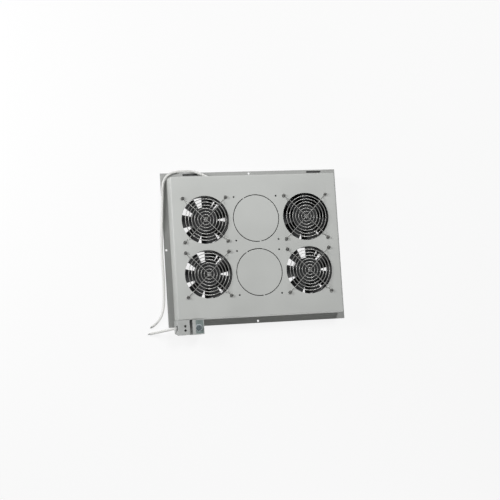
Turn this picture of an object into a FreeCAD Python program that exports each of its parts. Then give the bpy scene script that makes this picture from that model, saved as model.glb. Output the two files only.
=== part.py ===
import FreeCAD, Part
import math
import os
import re
import Sketcher

# Fan tray for a 19 inch cabinet: a folded sheet pan with six fan places, four of them fitted.
# Millimetres. The origin is the centre of the lip's underside, +Z comes out of the perforated
# face, +X runs along the long side and +Y is the side that the fan lead leaves by.

doc = FreeCAD.newDocument("rack_fan_tray")
Vector = FreeCAD.Vector
UP = Vector(0, 0, 1)
BEND_SHARE = 0.45  # of the shorter run beside a bend, taken up by its arc

SIZES = [
    # folded pan
    ("end_margin", 20.5), ("side_margin", 45.5), ("pan_height", 44), ("sheet", 1.5),
    ("bend_radius", 3), ("corner_radius", 2.5), ("lip_width", 15),
    ("lip_hole_margin", 5), ("lip_hole_radius", 2.75),
    ("lip_slot_left_inset", 58.5), ("lip_slot_right_inset", 40), ("lip_slot_length", 36),
    ("lip_slot_width", 3.2), ("plug_head", 0.6), ("plug_rim", 0.6),
    # fan places and knock-outs
    ("fan_gap_x", 6), ("fan_gap_y", 11), ("cutout_margin", 2), ("screw_inset", 14),
    ("screw_hole_radius", 2.25), ("knockout_margin", 2.2), ("knockout_gap", 2), ("bridge_width", 3),
    ("bridge_angle_one", 120), ("bridge_angle_two", -82),
    # fan frame
    ("fan_size", 119), ("fan_depth", 38), ("fan_corner", 4), ("flange", 4.5),
    ("duct_margin", 2.5), ("duct_wall", 1.7), ("motor_plate_radius", 30),
    ("motor_plate", 3.5), ("strut_width", 6), ("strut_angle", 50), ("strut_count", 3),
    ("tube_radius", 7.5), ("tube_top", 25),
    ("bearing_radius", 5), ("bearing_width", 4), ("bearing_floor", 2),
    ("spade_width", 2.8), ("spade_thickness", 0.5), ("spade_length", 8), ("spade_pitch", 7),
    ("spade_angle", -45), ("spade_boss_reach", 4.5), ("spade_boss_width", 13),
    ("spade_boss_bottom", 13), ("spade_boss_height", 8),
    # fan motor and rotor
    ("shaft_radius", 1.5), ("shaft_clearance", 0.05), ("stator_radius", 26.5),
    ("coil_radius", 23), ("stator_bottom", 8.5), ("stator_top", 24),
    ("coil_height", 3.5),
    ("hub_radius", 31), ("hub_wall", 2.5), ("hub_bottom", 6.5), ("hub_top", 36),
    ("hub_cap", 3), ("hub_edge", 1.6), ("hub_dish_radius", 24), ("hub_dish_depth", 0.8),
    ("hub_boss_radius", 4.5), ("hub_boss_bottom", 26.5),
    ("blade_count", 7), ("tip_clearance", 1.2), ("blade_thickness", 2.4),
    ("blade_front", 34), ("blade_back", 7.5), ("blade_root_half", 12.2), ("blade_tip_half", 19.5),
    ("blade_camber_radius", 60), ("blade_start_angle", 25.7),
    # finger guard
    ("wire_radius", 0.85), ("ring_pitch", 7.5), ("ring_first", 4.5), ("ring_count", 7),
    ("guard_height", 6), ("guard_weld", 0.25), ("guard_shoulder_inset", 3.5), ("guard_ramp", 0.6),
    ("eyelet_radius", 3.4),
    # guard screws and nuts
    ("screw_radius", 2), ("screw_head_radius", 4), ("screw_head_height", 2.8),
    ("screw_head_side", 1.5), ("screw_head_flat", 2.8),
    ("screw_length", 14), ("nut_across_corners", 8.1), ("nut_height", 3.2), ("nut_clearance", 0.05),
    # boxes at the corner
    ("box_depth", 35), ("box_drop", 2), ("box_lift", 0.2), ("box_wall", 2), ("box_back", 6),
    ("box_floor", 2), ("box_edge", 0.8), ("terminal_proud", 1.6), ("terminal_width", 28.6),
    ("terminal_cover", 3.5), ("terminal_chamfer_x", 8), ("terminal_chamfer_y", 5),
    ("well_x", 18), ("well_middle", 19.75), ("well_pitch", 9.9), ("well_radius", 3),
    ("block_left", 11), ("block_right", 25), ("block_half", 10), ("block_gap", 0.5),
    ("clamp_radius", 2.9), ("clamp_bottom", 18), ("clamp_height", 9), ("clamp_screw_head", 2.6),
    ("clamp_screw_length", 7), ("entry_depth", 18.4), ("entry_drop", 9.5),
    ("entry_radius", 4.6), ("entry_collar", 1.2), ("entry_collar_rim", 1.2),
    ("entry_clearance", 0.1),
    ("wiring_height", 10), ("wiring_radius", 4), ("wiring_rim", 1.2),
    ("thermostat_inset", 34.3), ("thermostat_width", 27.2), ("thermostat_cover", 5),
    ("scale_left", 7.2), ("scale_margin", 1.6), ("scale_sink", 1), ("scale_clearance", 0.1),
    ("dial_x", 14.1), ("dial_depth", 19.8), ("dial_radius", 6.5), ("dial_height", 5.5),
    ("dial_gap", 0.4), ("dial_skirt", 1.4), ("dial_neck", 5.6),
    ("dial_shoulder", 5.2), ("dial_top", 4.6), ("dial_slope", 0.6), ("dial_slot_start", 1.3),
    ("dial_slot_width", 1.3), ("dial_slot_depth", 1.5),
    ("spindle_radius", 2), ("spindle_clearance", 0.06), ("spindle_length", 16),
    ("cam_radius", 5), ("cam_height", 4), ("cam_offset", 1.2), ("cam_gap", 0.3),
    ("bimetal_thickness", 0.8), ("bimetal_width", 8), ("bimetal_gap", 0.5),
    ("contact_height", 10), ("contact_inset", 2),
    ("vent_width", 1.6), ("vent_pitch", 4), ("vent_count", 5), ("vent_bottom", 12),
    ("vent_top", 28),
    ("fixing_radius", 1.5), ("fixing_head_radius", 2.8), ("fixing_head", 2.2),
    ("fixing_length", 7), ("fixing_inset", 7), ("fixing_height", 26), ("fixing_clearance", 0.2),
    # lead opening and inner connector
    ("lead_opening_inset", 104.6), ("lead_opening_z", 11.6), ("lead_opening_half", 7.5),
    ("lead_opening_radius", 4.9), ("edging_rim", 1.8), ("edging_depth", 1.6),
    ("connector_right", -10), ("connector_length", 28), ("connector_depth", 17),
    ("connector_height", 15), ("connector_bottom", 8.5), ("connector_poles", 3),
    ("connector_well", 2.2), ("connector_well_depth", 7),
    # earth stud
    ("earth_x", -60), ("earth_z", 20), ("earth_radius", 2), ("earth_length", 12),
    # leads
    ("lead_radius", 3), ("core_radius", 1.1), ("core_offset", 1.35), ("core_length", 2.5),
    ("ferrule_radius", 0.75), ("ferrule_length", 3.5),
]

# sizes that follow from those above
FOLLOWING = [
    ("fan_pitch_x", "fan_size + fan_gap_x"),
    ("fan_pitch_y", "fan_size + fan_gap_y"),
    ("pan_length", "fan_pitch_x * 2 + fan_size + end_margin * 2"),
    ("pan_width", "fan_pitch_y + fan_size + side_margin * 2"),
    ("box_height", "pan_height - box_drop"),
    ("entry_height", "box_height - entry_drop"),
    ("cutout_radius", "fan_size / 2 - cutout_margin"),
    ("screw_square", "fan_size - screw_inset"),
    ("knockout_radius", "fan_size / 2 - knockout_margin"),
    ("duct_radius", "fan_size / 2 - duct_margin"),
    ("blade_tip_radius", "duct_radius - tip_clearance"),
    ("guard_shoulder", "fan_size / 2 - guard_shoulder_inset"),
    ("lip_slot_left", "lip_slot_left_inset - pan_length / 2"),
    ("lip_slot_right", "pan_length / 2 - lip_slot_right_inset"),
    ("lead_opening_x", "lead_opening_inset - pan_length / 2"),
    ("terminal_left", "-pan_length / 2 - terminal_proud"),
    ("thermostat_left", "thermostat_inset - pan_length / 2"),
]

sheet = doc.addObject("Spreadsheet::Sheet", "Sizes")
for row, (alias, number) in enumerate(SIZES, start=1):
    sheet.set(f"A{row}", alias)
    sheet.set(f"B{row}", str(number))
    sheet.setAlias(f"B{row}", alias)
for row, (alias, formula) in enumerate(FOLLOWING, start=len(SIZES) + 1):
    sheet.set(f"A{row}", alias)
    sheet.set(f"B{row}", f"={formula}")
    sheet.setAlias(f"B{row}", alias)
doc.recompute()

ALIASES = {alias for alias, number in SIZES + FOLLOWING}
value = {alias: float(sheet.get(alias)) for alias in ALIASES}


def cells(expression):
    """Spell out each alias in an expression as a cell of the sheet."""
    def spell(match):
        word = match.group(0)
        return f"Sizes.{word}" if word in ALIASES else word
    return re.sub(r"[a-z_]+", spell, str(expression))


def bind(target, bindings):
    for path, expression in bindings.items():
        target.setExpression(path, cells(expression))
    return target


# ---- sketches -------------------------------------------------------------------------------

def origin_feature(body, role):
    return next(feature for feature in body.Origin.OriginFeatures if feature.Role == role)


def new_body(label):
    body = doc.addObject("PartDesign::Body", label)
    body.Label = label
    return body


def sketch_on(body, name, role="XY_Plane", offset=None, turn=None, axis=UP):
    sketch = body.newObject("Sketcher::SketchObject", name)
    sketch.AttachmentSupport = [(origin_feature(body, role), "")]
    sketch.MapMode = "FlatFace"
    if turn is not None:
        sketch.AttachmentOffset = FreeCAD.Placement(Vector(), FreeCAD.Rotation(axis, 1))
        bind(sketch, {"AttachmentOffset.Rotation.Angle": turn})
    if offset is not None:
        bind(sketch, {"AttachmentOffset.Base.z": offset})
    return sketch


def drive_point(sketch, geometry, corner, x, y):
    """Hold a point of the sketch at driven coordinates."""
    here = sketch.getPoint(geometry, corner)
    for kind, coordinate, now, axis in (("DistanceX", x, here.x, -2), ("DistanceY", y, here.y, -1)):
        if coordinate == "0":
            sketch.addConstraint(Sketcher.Constraint("PointOnObject", geometry, corner, axis))
        else:
            index = sketch.addConstraint(Sketcher.Constraint(kind, -1, 1, geometry, corner, now))
            bind(sketch, {f"Constraints[{index}]": coordinate})


def polygon(sketch, corners):
    first = sketch.GeometryCount
    count = len(corners)
    ring = [Vector(math.cos(math.tau * i / count), math.sin(math.tau * i / count), 0)
            for i in range(count)]
    for i in range(count):
        sketch.addGeometry(Part.LineSegment(ring[i], ring[(i + 1) % count]), False)
    for i in range(count):
        following = first + (i + 1) % count
        sketch.addConstraint(Sketcher.Constraint("Coincident", first + i, 2, following, 1))
    for i, (x, y) in enumerate(corners):
        drive_point(sketch, first + i, 1, x, y)


def rectangle(sketch, left, bottom, right, top):
    polygon(sketch, [(left, bottom), (right, bottom), (right, top), (left, top)])


def circle(sketch, x, y, radius):
    index = sketch.addGeometry(Part.Circle(Vector(), UP, 1), False)
    drive_point(sketch, index, 3, x, y)
    size = sketch.addConstraint(Sketcher.Constraint("Radius", index, 1.0))
    bind(sketch, {f"Constraints[{size}]": radius})


# ---- features -------------------------------------------------------------------------------

def pad(body, name, sketch, length, downward=False):
    feature = body.newObject("PartDesign::Pad", name)
    feature.Profile = sketch
    feature.Reversed = downward
    sketch.Visibility = False
    return bind(feature, {"Length": length})


def pocket(body, name, sketch, length=None, reverse=False):
    feature = body.newObject("PartDesign::Pocket", name)
    feature.Profile = sketch
    feature.Reversed = reverse
    if length is None:
        feature.Type = "ThroughAll"
        return feature
    return bind(feature, {"Length": length})


def revolve(body, name, sketch):
    feature = body.newObject("PartDesign::Revolution", name)
    feature.Profile = sketch
    feature.ReferenceAxis = (sketch, ["V_Axis"])
    feature.Angle = 360
    return feature


def polar_pattern(body, name, feature, occurrences):
    pattern = body.newObject("PartDesign::PolarPattern", name)
    pattern.Originals = [feature]
    pattern.Axis = (origin_feature(body, "Z_Axis"), [""])
    pattern.Angle = 360
    bind(pattern, {"Occurrences": occurrences})
    body.Tip = pattern
    return pattern


def edges_where(shape, test):
    return [f"Edge{i}" for i, edge in enumerate(shape.Edges, start=1) if test(edge)]


def is_upright(edge):
    return len(edge.Vertexes) == 2 and abs(edge.tangentAt(edge.FirstParameter).z) > 0.999


def lies_at(height):
    return lambda edge: all(abs(vertex.Z - height) < 1e-4 for vertex in edge.Vertexes)


def round_edges(body, name, test, radius):
    doc.recompute()
    base = body.Tip
    feature = body.newObject("PartDesign::Fillet", name)
    feature.Base = (base, edges_where(base.Shape, test))
    return bind(feature, {"Radius": radius})


def cylinder(label, radius, height, place=None):
    made = doc.addObject("Part::Cylinder", label)
    made.Label = label
    return bind(made, {"Radius": radius, "Height": height, **(place or {})})


def box(label, length, width, height, place=None):
    made = doc.addObject("Part::Box", label)
    made.Label = label
    return bind(made, {"Length": length, "Width": width, "Height": height, **(place or {})})


def at(x=None, y=None, z=None):
    """Placement bindings for a position."""
    axes = (("x", x), ("y", y), ("z", z))
    return {f"Placement.Base.{axis}": place for axis, place in axes if place is not None}


def cut(label, base, tools):
    made = doc.addObject("Part::Cut", label)
    made.Label = label
    made.Base = base
    made.Tool = tools[0] if len(tools) == 1 else group(f"{label}_cutters", tools)
    return made


def fuse(label, pieces):
    made = doc.addObject("Part::MultiFuse", label)
    made.Label = label
    made.Shapes = pieces
    return made


def group(label, pieces, place=None):
    made = doc.addObject("Part::Compound", label)
    made.Label = label
    made.Links = pieces
    return bind(made, place or {})


def feature_from(label, shape):
    made = doc.addObject("Part::Feature", label)
    made.Label = label
    made.Shape = shape
    return made


def tube(points, radius):
    """A tube along straight runs joined by tangent arcs, with the arcs' radii."""
    steps = [b - a for a, b in zip(points, points[1:])]
    edges = []
    radii = []
    start = points[0]
    for corner, before, after in zip(points[1:-1], steps, steps[1:]):
        half_turn = before.getAngle(after) / 2
        setback = BEND_SHARE * min(before.Length, after.Length)
        entry = corner - Vector(before).normalize() * setback
        leave = corner + Vector(after).normalize() * setback
        bend = setback / math.tan(half_turn)
        inward = (Vector(after).normalize() - Vector(before).normalize()).normalize()
        middle = corner + inward * (bend / math.cos(half_turn) - bend)
        edges.append(Part.LineSegment(start, entry).toShape())
        edges.append(Part.Arc(entry, middle, leave).toShape())
        radii.append(bend)
        start = leave
    edges.append(Part.LineSegment(start, points[-1]).toShape())
    path = Part.Wire(edges)
    section = Part.Wire([Part.Circle(points[0], steps[0], radius).toShape()])
    return path.makePipeShell([section], True, True), radii, path.Length


# ---- folded pan -----------------------------------------------------------------------------

FITTED = [(-1, 1), (1, 1), (-1, -1), (1, -1)]
SPARE = [(0, 1), (0, -1)]
CORNERS = [(-1, -1), (1, -1), (1, 1), (-1, 1)]


def place_x(column):
    return "0" if column == 0 else f"{column} * fan_pitch_x"


def place_y(row):
    return f"{row} * fan_pitch_y / 2"


def obround(body, name, role, x, y, half, radius, **ends):
    """A slot along the sketch's x: a rectangle between two round ends."""
    sketch = sketch_on(body, f"{name}_middle_sketch", role)
    rectangle(sketch, f"{x} - {half}", f"{y} - {radius}", f"{x} + {half}", f"{y} + {radius}")
    pocket(body, f"{name}_middle", sketch, **ends)
    sketch = sketch_on(body, f"{name}_ends_sketch", role)
    for side in "-+":
        circle(sketch, f"{x} {side} {half}", y, radius)
    pocket(body, f"{name}_ends", sketch, **ends)


def make_pan():
    body = new_body("folded_sheet")
    outline = sketch_on(body, "pan_outline")
    rectangle(outline, "-pan_length / 2", "-pan_width / 2", "pan_length / 2", "pan_width / 2")
    pad(body, "pan_block", outline, "pan_height")
    round_edges(body, "pan_corners", is_upright, "corner_radius")
    round_edges(body, "pan_bends", lies_at(value["pan_height"]), "bend_radius")
    doc.recompute()
    shell = body.newObject("PartDesign::Thickness", "pan_shell")
    base = body.Tip if body.Tip != shell else shell.BaseFeature
    bottom = [f"Face{i}" for i, face in enumerate(base.Shape.Faces, start=1)
              if abs(face.CenterOfMass.z) < 1e-6]
    shell.Base = (base, bottom)
    shell.Reversed = True
    shell.Join = 0
    bind(shell, {"Value": "sheet"})
    doc.recompute()

    lip = sketch_on(body, "lip_outline")
    rectangle(lip, "-pan_length / 2 - lip_width", "-pan_width / 2 - lip_width",
              "pan_length / 2 + lip_width", "pan_width / 2 + lip_width")
    rectangle(lip, "-pan_length / 2 + sheet", "-pan_width / 2 + sheet",
              "pan_length / 2 - sheet", "pan_width / 2 - sheet")
    pad(body, "lips", lip, "sheet")

    openings = sketch_on(body, "fan_openings_sketch")
    for column, row in FITTED:
        circle(openings, place_x(column), place_y(row), "cutout_radius")
    pocket(body, "fan_openings", openings, reverse=True)

    screw_holes = sketch_on(body, "screw_holes_sketch")
    for column, row in FITTED + SPARE:
        for side, end in CORNERS:
            circle(screw_holes, f"{column} * fan_pitch_x + {side} * screw_square / 2",
                   f"{row} * fan_pitch_y / 2 + {end} * screw_square / 2", "screw_hole_radius")
    pocket(body, "screw_holes", screw_holes, reverse=True)

    lip_holes = sketch_on(body, "lip_holes_sketch")
    for side in (-1, 1):
        circle(lip_holes, f"{side} * (pan_length / 2 + lip_width - lip_hole_margin)", "0",
               "lip_hole_radius")
        circle(lip_holes, "0", f"{side} * (pan_width / 2 + lip_width - lip_hole_margin)",
               "lip_hole_radius")
    pocket(body, "lip_holes", lip_holes, reverse=True)

    for side in ("left", "right"):
        obround(body, f"lip_slot_{side}", "XY_Plane", f"lip_slot_{side}", LIP_LINE,
                "(lip_slot_length - lip_slot_width) / 2", "lip_slot_width / 2", reverse=True)
    obround(body, "lead_opening", "XZ_Plane", "lead_opening_x", "lead_opening_z",
            "lead_opening_half", "(lead_opening_radius + edging_rim)")

    wall_holes = sketch_on(body, "box_wall_holes_sketch", "XZ_Plane")
    for left, width in BOXES:
        for side in "-+":
            circle(wall_holes, f"{left} + {width} / 2 {side} ({width} / 2 - fixing_inset)",
                   f"{BOX_BASE} + fixing_height", "fixing_radius + fixing_clearance")
        circle(wall_holes, f"{left} + {width} / 2", f"{BOX_BASE} + wiring_height",
               "wiring_radius + wiring_rim")
    pocket(body, "box_wall_holes", wall_holes, reverse=True)
    doc.recompute()

    slots = []
    for number, (column, row) in enumerate(SPARE, start=1):
        middle = at(place_x(column) if column else None, place_y(row))
        ring = cut(f"knockout_ring_{number}",
                   cylinder(f"knockout_outer_{number}", "knockout_radius", "2 * pan_height", middle),
                   [cylinder(f"knockout_inner_{number}", "knockout_radius - knockout_gap",
                             "2 * pan_height", middle)])
        bridges = []
        for name in ("one", "two"):
            bridge = box(f"bridge_{name}_{number}", "2 * knockout_radius", "bridge_width",
                         "2 * pan_height")
            bridge.Placement = FreeCAD.Placement(Vector(), FreeCAD.Rotation(UP, 1))
            angle = f"bridge_angle_{name}"
            bind(bridge, {"Placement.Rotation.Angle": angle,
                          **at(f"bridge_width / 2 * sin({angle})",
                               f"{place_y(row)} - bridge_width / 2 * cos({angle})")})
            bridges.append(bridge)
        slots.append(cut(f"knockout_slots_{number}", ring, bridges))
    return cut("tray_pan", body, slots)


LIP_LINE = "pan_width / 2 + lip_width - lip_hole_margin"
BOX_BASE = "(sheet + box_lift)"
BOXES = [("terminal_left", "terminal_width"), ("thermostat_left", "thermostat_width")]


def make_slot_plugs():
    """Rubber strips that fill the two slots of the rear lip, each with a rim on top."""
    plugs = []
    for side in ("left", "right"):
        body = new_body(f"slot_plug_{side}")
        for name, grow, length, downward in (("core", "0", "sheet", True),
                                             ("rim", "plug_rim", "plug_head", False)):
            half = "(lip_slot_length - lip_slot_width) / 2"
            radius = f"(lip_slot_width / 2 + {grow})"
            sketch = sketch_on(body, f"{name}_sketch", "XY_Plane")
            rectangle(sketch, f"-{half}", f"-{radius}", half, radius)
            pad(body, name, sketch, length, downward)
            ends = sketch_on(body, f"{name}_ends_sketch", "XY_Plane")
            for end in "-+":
                circle(ends, f"{end} {half}", "0", radius)
            pad(body, f"{name}_ends", ends, length, downward)
        bind(body, at(f"lip_slot_{side}", LIP_LINE, "sheet"))
        plugs.append(body)
    return group("slot_plugs", plugs)


# ---- fans, each made once about its own axis with its outlet side at z = 0 --------------------

def make_fan_frame():
    """Die-cast square frame: a duct between two flanges, struts, motor plate, bearing tube."""
    body = new_body("frame_casting")
    square = sketch_on(body, "square")
    half = "fan_size / 2"
    rectangle(square, f"-{half}", f"-{half}", half, half)
    pad(body, "square_block", square, "fan_depth")
    round_edges(body, "square_corners", is_upright, "fan_corner")

    waist = sketch_on(body, "waist_sketch", offset="flange")
    rectangle(waist, "-fan_size", "-fan_size", "fan_size", "fan_size")
    circle(waist, "0", "0", "duct_radius + duct_wall")
    pocket(body, "waist", waist, "fan_depth - 2 * flange", reverse=True)

    duct = sketch_on(body, "duct_sketch")
    circle(duct, "0", "0", "duct_radius")
    pocket(body, "duct", duct, reverse=True)

    holes = sketch_on(body, "flange_holes_sketch")
    for side, end in CORNERS:
        circle(holes, f"{side} * screw_square / 2", f"{end} * screw_square / 2",
               "screw_hole_radius")
    pocket(body, "flange_holes", holes, reverse=True)

    strut = sketch_on(body, "strut_sketch", turn="strut_angle")
    rectangle(strut, "0", "-strut_width / 2", "duct_radius + duct_wall / 2", "strut_width / 2")
    struts = pad(body, "strut", strut, "motor_plate")
    polar_pattern(body, "struts", struts, "strut_count")

    plate = sketch_on(body, "motor_plate_sketch")
    circle(plate, "0", "0", "motor_plate_radius")
    pad(body, "motor_plate_disc", plate, "motor_plate")

    post = sketch_on(body, "bearing_tube_sketch")
    circle(post, "0", "0", "tube_radius")
    pad(body, "bearing_tube", post, "tube_top")

    boss = sketch_on(body, "spade_boss_sketch", offset="spade_boss_bottom", turn="spade_angle")
    rectangle(boss, "duct_radius + duct_wall / 2", "-spade_boss_width / 2",
              "duct_radius + spade_boss_reach", "spade_boss_width / 2")
    pad(body, "spade_boss", boss, "spade_boss_height")

    bore = sketch_on(body, "bearing_bore_sketch", offset="bearing_floor")
    circle(bore, "0", "0", "bearing_radius")
    pocket(body, "bearing_bore", bore, "tube_top", reverse=True)
    return body


def make_rotor():
    """Hub cup with seven swept blades."""
    body = new_body("rotor_moulding")
    profile = sketch_on(body, "hub_profile", "XZ_Plane")
    polygon(profile, [
        ("shaft_radius", "hub_boss_bottom"),
        ("hub_boss_radius", "hub_boss_bottom"),
        ("hub_boss_radius", "hub_top - hub_cap"),
        ("hub_radius - hub_wall", "hub_top - hub_cap"),
        ("hub_radius - hub_wall", "hub_bottom"),
        ("hub_radius", "hub_bottom"),
        ("hub_radius", "hub_top - hub_edge"),
        ("hub_radius - hub_edge", "hub_top"),
        ("hub_dish_radius", "hub_top"),
        ("hub_dish_radius - hub_dish_depth", "hub_top - hub_dish_depth"),
        ("shaft_radius", "hub_top - hub_dish_depth"),
    ])
    revolve(body, "hub", profile)

    sections = []
    for name, radius, half in (("root", "hub_radius - hub_wall / 2", "blade_root_half"),
                               ("tip", "blade_tip_radius + 4", "blade_tip_half")):
        section = sketch_on(body, f"blade_{name}", "YZ_Plane", offset=radius)
        blade_section(section, half, value[half])
        sections.append(section)
    blade = body.newObject("PartDesign::AdditiveLoft", "blade")
    blade.Profile = sections[0]
    blade.Sections = sections[1:]
    doc.recompute()
    polar_pattern(body, "blades", blade, "blade_count")
    doc.recompute()

    trim = sketch_on(body, "tip_trim_sketch")
    circle(trim, "0", "0", "blade_tip_radius")
    circle(trim, "0", "0", "blade_tip_radius + fan_size / 4")
    pocket(body, "tip_trim", trim, reverse=True)
    return body


def blade_section(sketch, half, half_number):
    """Cambered section of a blade, leading edge high, drawn with two like arcs."""
    bend = value["blade_camber_radius"]
    arcs = []
    ends = []
    for drop in (0, value["blade_thickness"]):
        start = Vector(half_number, value["blade_front"] - drop, 0)
        end = Vector(-half_number, value["blade_back"] + value["blade_thickness"] - drop, 0)
        chord = end - start
        rise = bend - math.sqrt(bend ** 2 - chord.Length ** 2 / 4)
        across = Vector(chord.y, -chord.x, 0).normalize()
        arc = sketch.addGeometry(Part.Arc(start, (start + end) / 2 + across * rise, end), False)
        begins = (sketch.getPoint(arc, 1) - start).Length < rise
        arcs.append(arc)
        ends.append((1, 2) if begins else (2, 1))
    for side in (0, 1):
        corners = [sketch.getPoint(arc, end[side]) for arc, end in zip(arcs, ends)]
        line = sketch.addGeometry(Part.LineSegment(*corners), False)
        for corner, arc, end in zip((1, 2), arcs, ends):
            sketch.addConstraint(Sketcher.Constraint("Coincident", line, corner, arc, end[side]))
    for arc, end, drop in zip(arcs, ends, ("0 * blade_thickness", "blade_thickness")):
        size = sketch.addConstraint(Sketcher.Constraint("Radius", arc, bend))
        bind(sketch, {f"Constraints[{size}]": "blade_camber_radius"})
        drive_point(sketch, arc, end[0], half, f"blade_front - {drop}")
        drive_point(sketch, arc, end[1], f"-{half}", f"blade_back + blade_thickness - {drop}")


def make_bearings():
    rings = []
    for number, bottom in (("1", "bearing_floor"), ("2", "tube_top - bearing_width")):
        outer = cylinder(f"bearing_outer_{number}", "bearing_radius", "bearing_width", at(z=bottom))
        inner = cylinder(f"bearing_inner_{number}", "shaft_radius + shaft_clearance",
                         "bearing_width", at(z=bottom))
        rings.append(cut(f"bearing_{number}", outer, [inner]))
    return group("bearing_pair", rings)


def make_stator():
    """Laminated core with its winding, seated on the bearing tube."""
    body = new_body("stator_core")
    profile = sketch_on(body, "stator_profile", "XZ_Plane")
    inner = "tube_radius"
    polygon(profile, [
        (inner, "stator_bottom - coil_height"), ("coil_radius", "stator_bottom - coil_height"),
        ("coil_radius", "stator_bottom"), ("stator_radius", "stator_bottom"),
        ("stator_radius", "stator_top - coil_height"),
        ("coil_radius", "stator_top - coil_height"), ("coil_radius", "stator_top"),
        (inner, "stator_top"),
    ])
    revolve(body, "stator_body", profile)
    return body


def make_spades():
    """The two spade terminals that stand out of the boss on the duct."""
    blades = []
    for side in (-1, 1):
        blades.append(box(
            f"spade_{'left' if side < 0 else 'right'}", "spade_length", "spade_width",
            "spade_thickness",
            at("duct_radius + spade_boss_reach",
               f"{side} * spade_pitch / 2 - spade_width / 2",
               "spade_boss_bottom + spade_boss_height / 2")))
    return group("spade_pair", blades)


def make_guard():
    """Welded wire guard: seven rings, two crossing wires and four eyelets."""
    rings = []
    for number in range(int(value["ring_count"])):
        ring = doc.addObject("Part::Torus", f"guard_ring_{number + 1}")
        rings.append(bind(ring, {"Radius1": f"ring_first + {number} * ring_pitch",
                                 "Radius2": "wire_radius",
                                 **at(z="guard_height - 2 * wire_radius + guard_weld")}))
    reach = value["screw_square"] / 2 * math.sqrt(2)
    foot = reach - value["eyelet_radius"]
    high = value["guard_height"]
    low = value["wire_radius"]
    shoulder = value["guard_shoulder"]
    ramp = shoulder + (foot - shoulder) * value["guard_ramp"]
    half_path = [(foot, low), (ramp, low), (shoulder, high)]
    along = [(r, z) for r, z in half_path] + [(-r, z) for r, z in reversed(half_path)]
    wires = []
    eyelets = []
    for number, angle in enumerate((45, 135), start=1):
        way = Vector(math.cos(math.radians(angle)), math.sin(math.radians(angle)), 0)
        points = [way * r + UP * z for r, z in along]
        solid, radii, length = tube(points, value["wire_radius"])
        wires.append(feature_from(f"guard_wire_{number}", solid))
    for number, (side, end) in enumerate(CORNERS, start=1):
        eyelet = doc.addObject("Part::Torus", f"guard_eyelet_{number}")
        eyelets.append(bind(eyelet, {
            "Radius1": "eyelet_radius", "Radius2": "wire_radius",
            **at(f"{side} * screw_square / 2", f"{end} * screw_square / 2", "wire_radius")}))
    return fuse("guard", rings + wires + eyelets)


def make_screw():
    """Pan-head machine screw, standing on its head's underside at z = 0."""
    body = new_body("pan_head_screw")
    profile = sketch_on(body, "screw_profile", "XZ_Plane")
    polygon(profile, [
        ("0", "-screw_length"), ("screw_radius", "-screw_length"), ("screw_radius", "0"),
        ("screw_head_radius", "0"), ("screw_head_radius", "screw_head_side"),
        ("screw_head_flat", "screw_head_height"), ("0", "screw_head_height"),
    ])
    revolve(body, "screw_body", profile)
    return body


def make_nut():
    hexagon = doc.addObject("Part::Prism", "nut_hexagon")
    hexagon.Polygon = 6
    bind(hexagon, {"Circumradius": "nut_across_corners / 2", "Height": "nut_height"})
    thread = cylinder("nut_bore", "screw_radius + nut_clearance", "nut_height")
    return cut("hexagon_nut", hexagon, [thread])


def make_fans():
    fan_parts = {
        "fan_frame": make_fan_frame(),
        "fan_rotor": make_rotor(),
        "fan_shaft": cylinder("shaft_rod", "shaft_radius",
                              "hub_top - hub_dish_depth - bearing_floor", at(z="bearing_floor")),
        "fan_bearings": make_bearings(),
        "fan_stator": make_stator(),
        "fan_terminals": make_spades(),
    }
    doc.recompute()
    guard = make_guard()
    screw = make_screw()
    nut = make_nut()
    parts = []
    screws = []
    nuts = []
    for number, (column, row) in enumerate(FITTED, start=1):
        fan_place = at(place_x(column), place_y(row), "pan_height - sheet - fan_depth")
        for name, pattern in fan_parts.items():
            parts.append(group(f"{name}_{number}", [pattern], fan_place))
            if name == "fan_rotor":
                turn(parts[-1], "blade_start_angle")
            if name == "fan_terminals":
                turn(parts[-1], "spade_angle")
        parts.append(group(f"finger_guard_{number}", [guard],
                           at(place_x(column), place_y(row), "pan_height")))
        for corner, (side, end) in enumerate(CORNERS, start=1):
            x = f"{place_x(column)} + {side} * screw_square / 2"
            y = f"{place_y(row)} + {end} * screw_square / 2"
            screws.append(group(f"guard_screw_{number}_{corner}", [screw],
                                at(x, y, "pan_height + 2 * wire_radius")))
            nuts.append(group(f"fan_nut_{number}_{corner}", [nut],
                              at(x, y, "pan_height - sheet - flange - nut_height")))
    return parts + [group("guard_screws", screws), group("fan_nuts", nuts)]


def turn(target, angle, axis=UP):
    """Turn a piece about an axis by a driven angle, in its own place."""
    target.Placement = FreeCAD.Placement(target.Placement.Base, FreeCAD.Rotation(axis, 1))
    bind(target, {"Placement.Rotation.Angle": angle})


# ---- boxes at the corner, each made from its rear left foot ----------------------------------

def box_place(left):
    return at(left, "-pan_width / 2", BOX_BASE)


def terminal_outline(sketch, inset, back):
    """Outline with its front left corner cut off, at a distance inside the outer one."""
    polygon(sketch, [
        (f"{inset}", f"-{back}"),
        (f"terminal_width - {inset}", f"-{back}"),
        (f"terminal_width - {inset}", f"-box_depth + {inset}"),
        (f"terminal_chamfer_x + {inset} / 2", f"-box_depth + {inset}"),
        (f"{inset}", f"-box_depth + terminal_chamfer_y + {inset} / 2"),
    ])


def back_holes(body, width):
    """Pilot holes for the fixing screws and the way through for the wires."""
    pilots = sketch_on(body, "pilot_sketch", "XZ_Plane")
    for side in "-+":
        circle(pilots, f"{width} / 2 {side} ({width} / 2 - fixing_inset)", "fixing_height",
               "fixing_radius")
    pocket(body, "pilots", pilots, "box_back", reverse=True)
    way = sketch_on(body, "wiring_sketch", "XZ_Plane")
    circle(way, f"{width} / 2", "wiring_height", "wiring_radius")
    pocket(body, "wiring_way", way, "box_back + box_wall", reverse=True)


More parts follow.
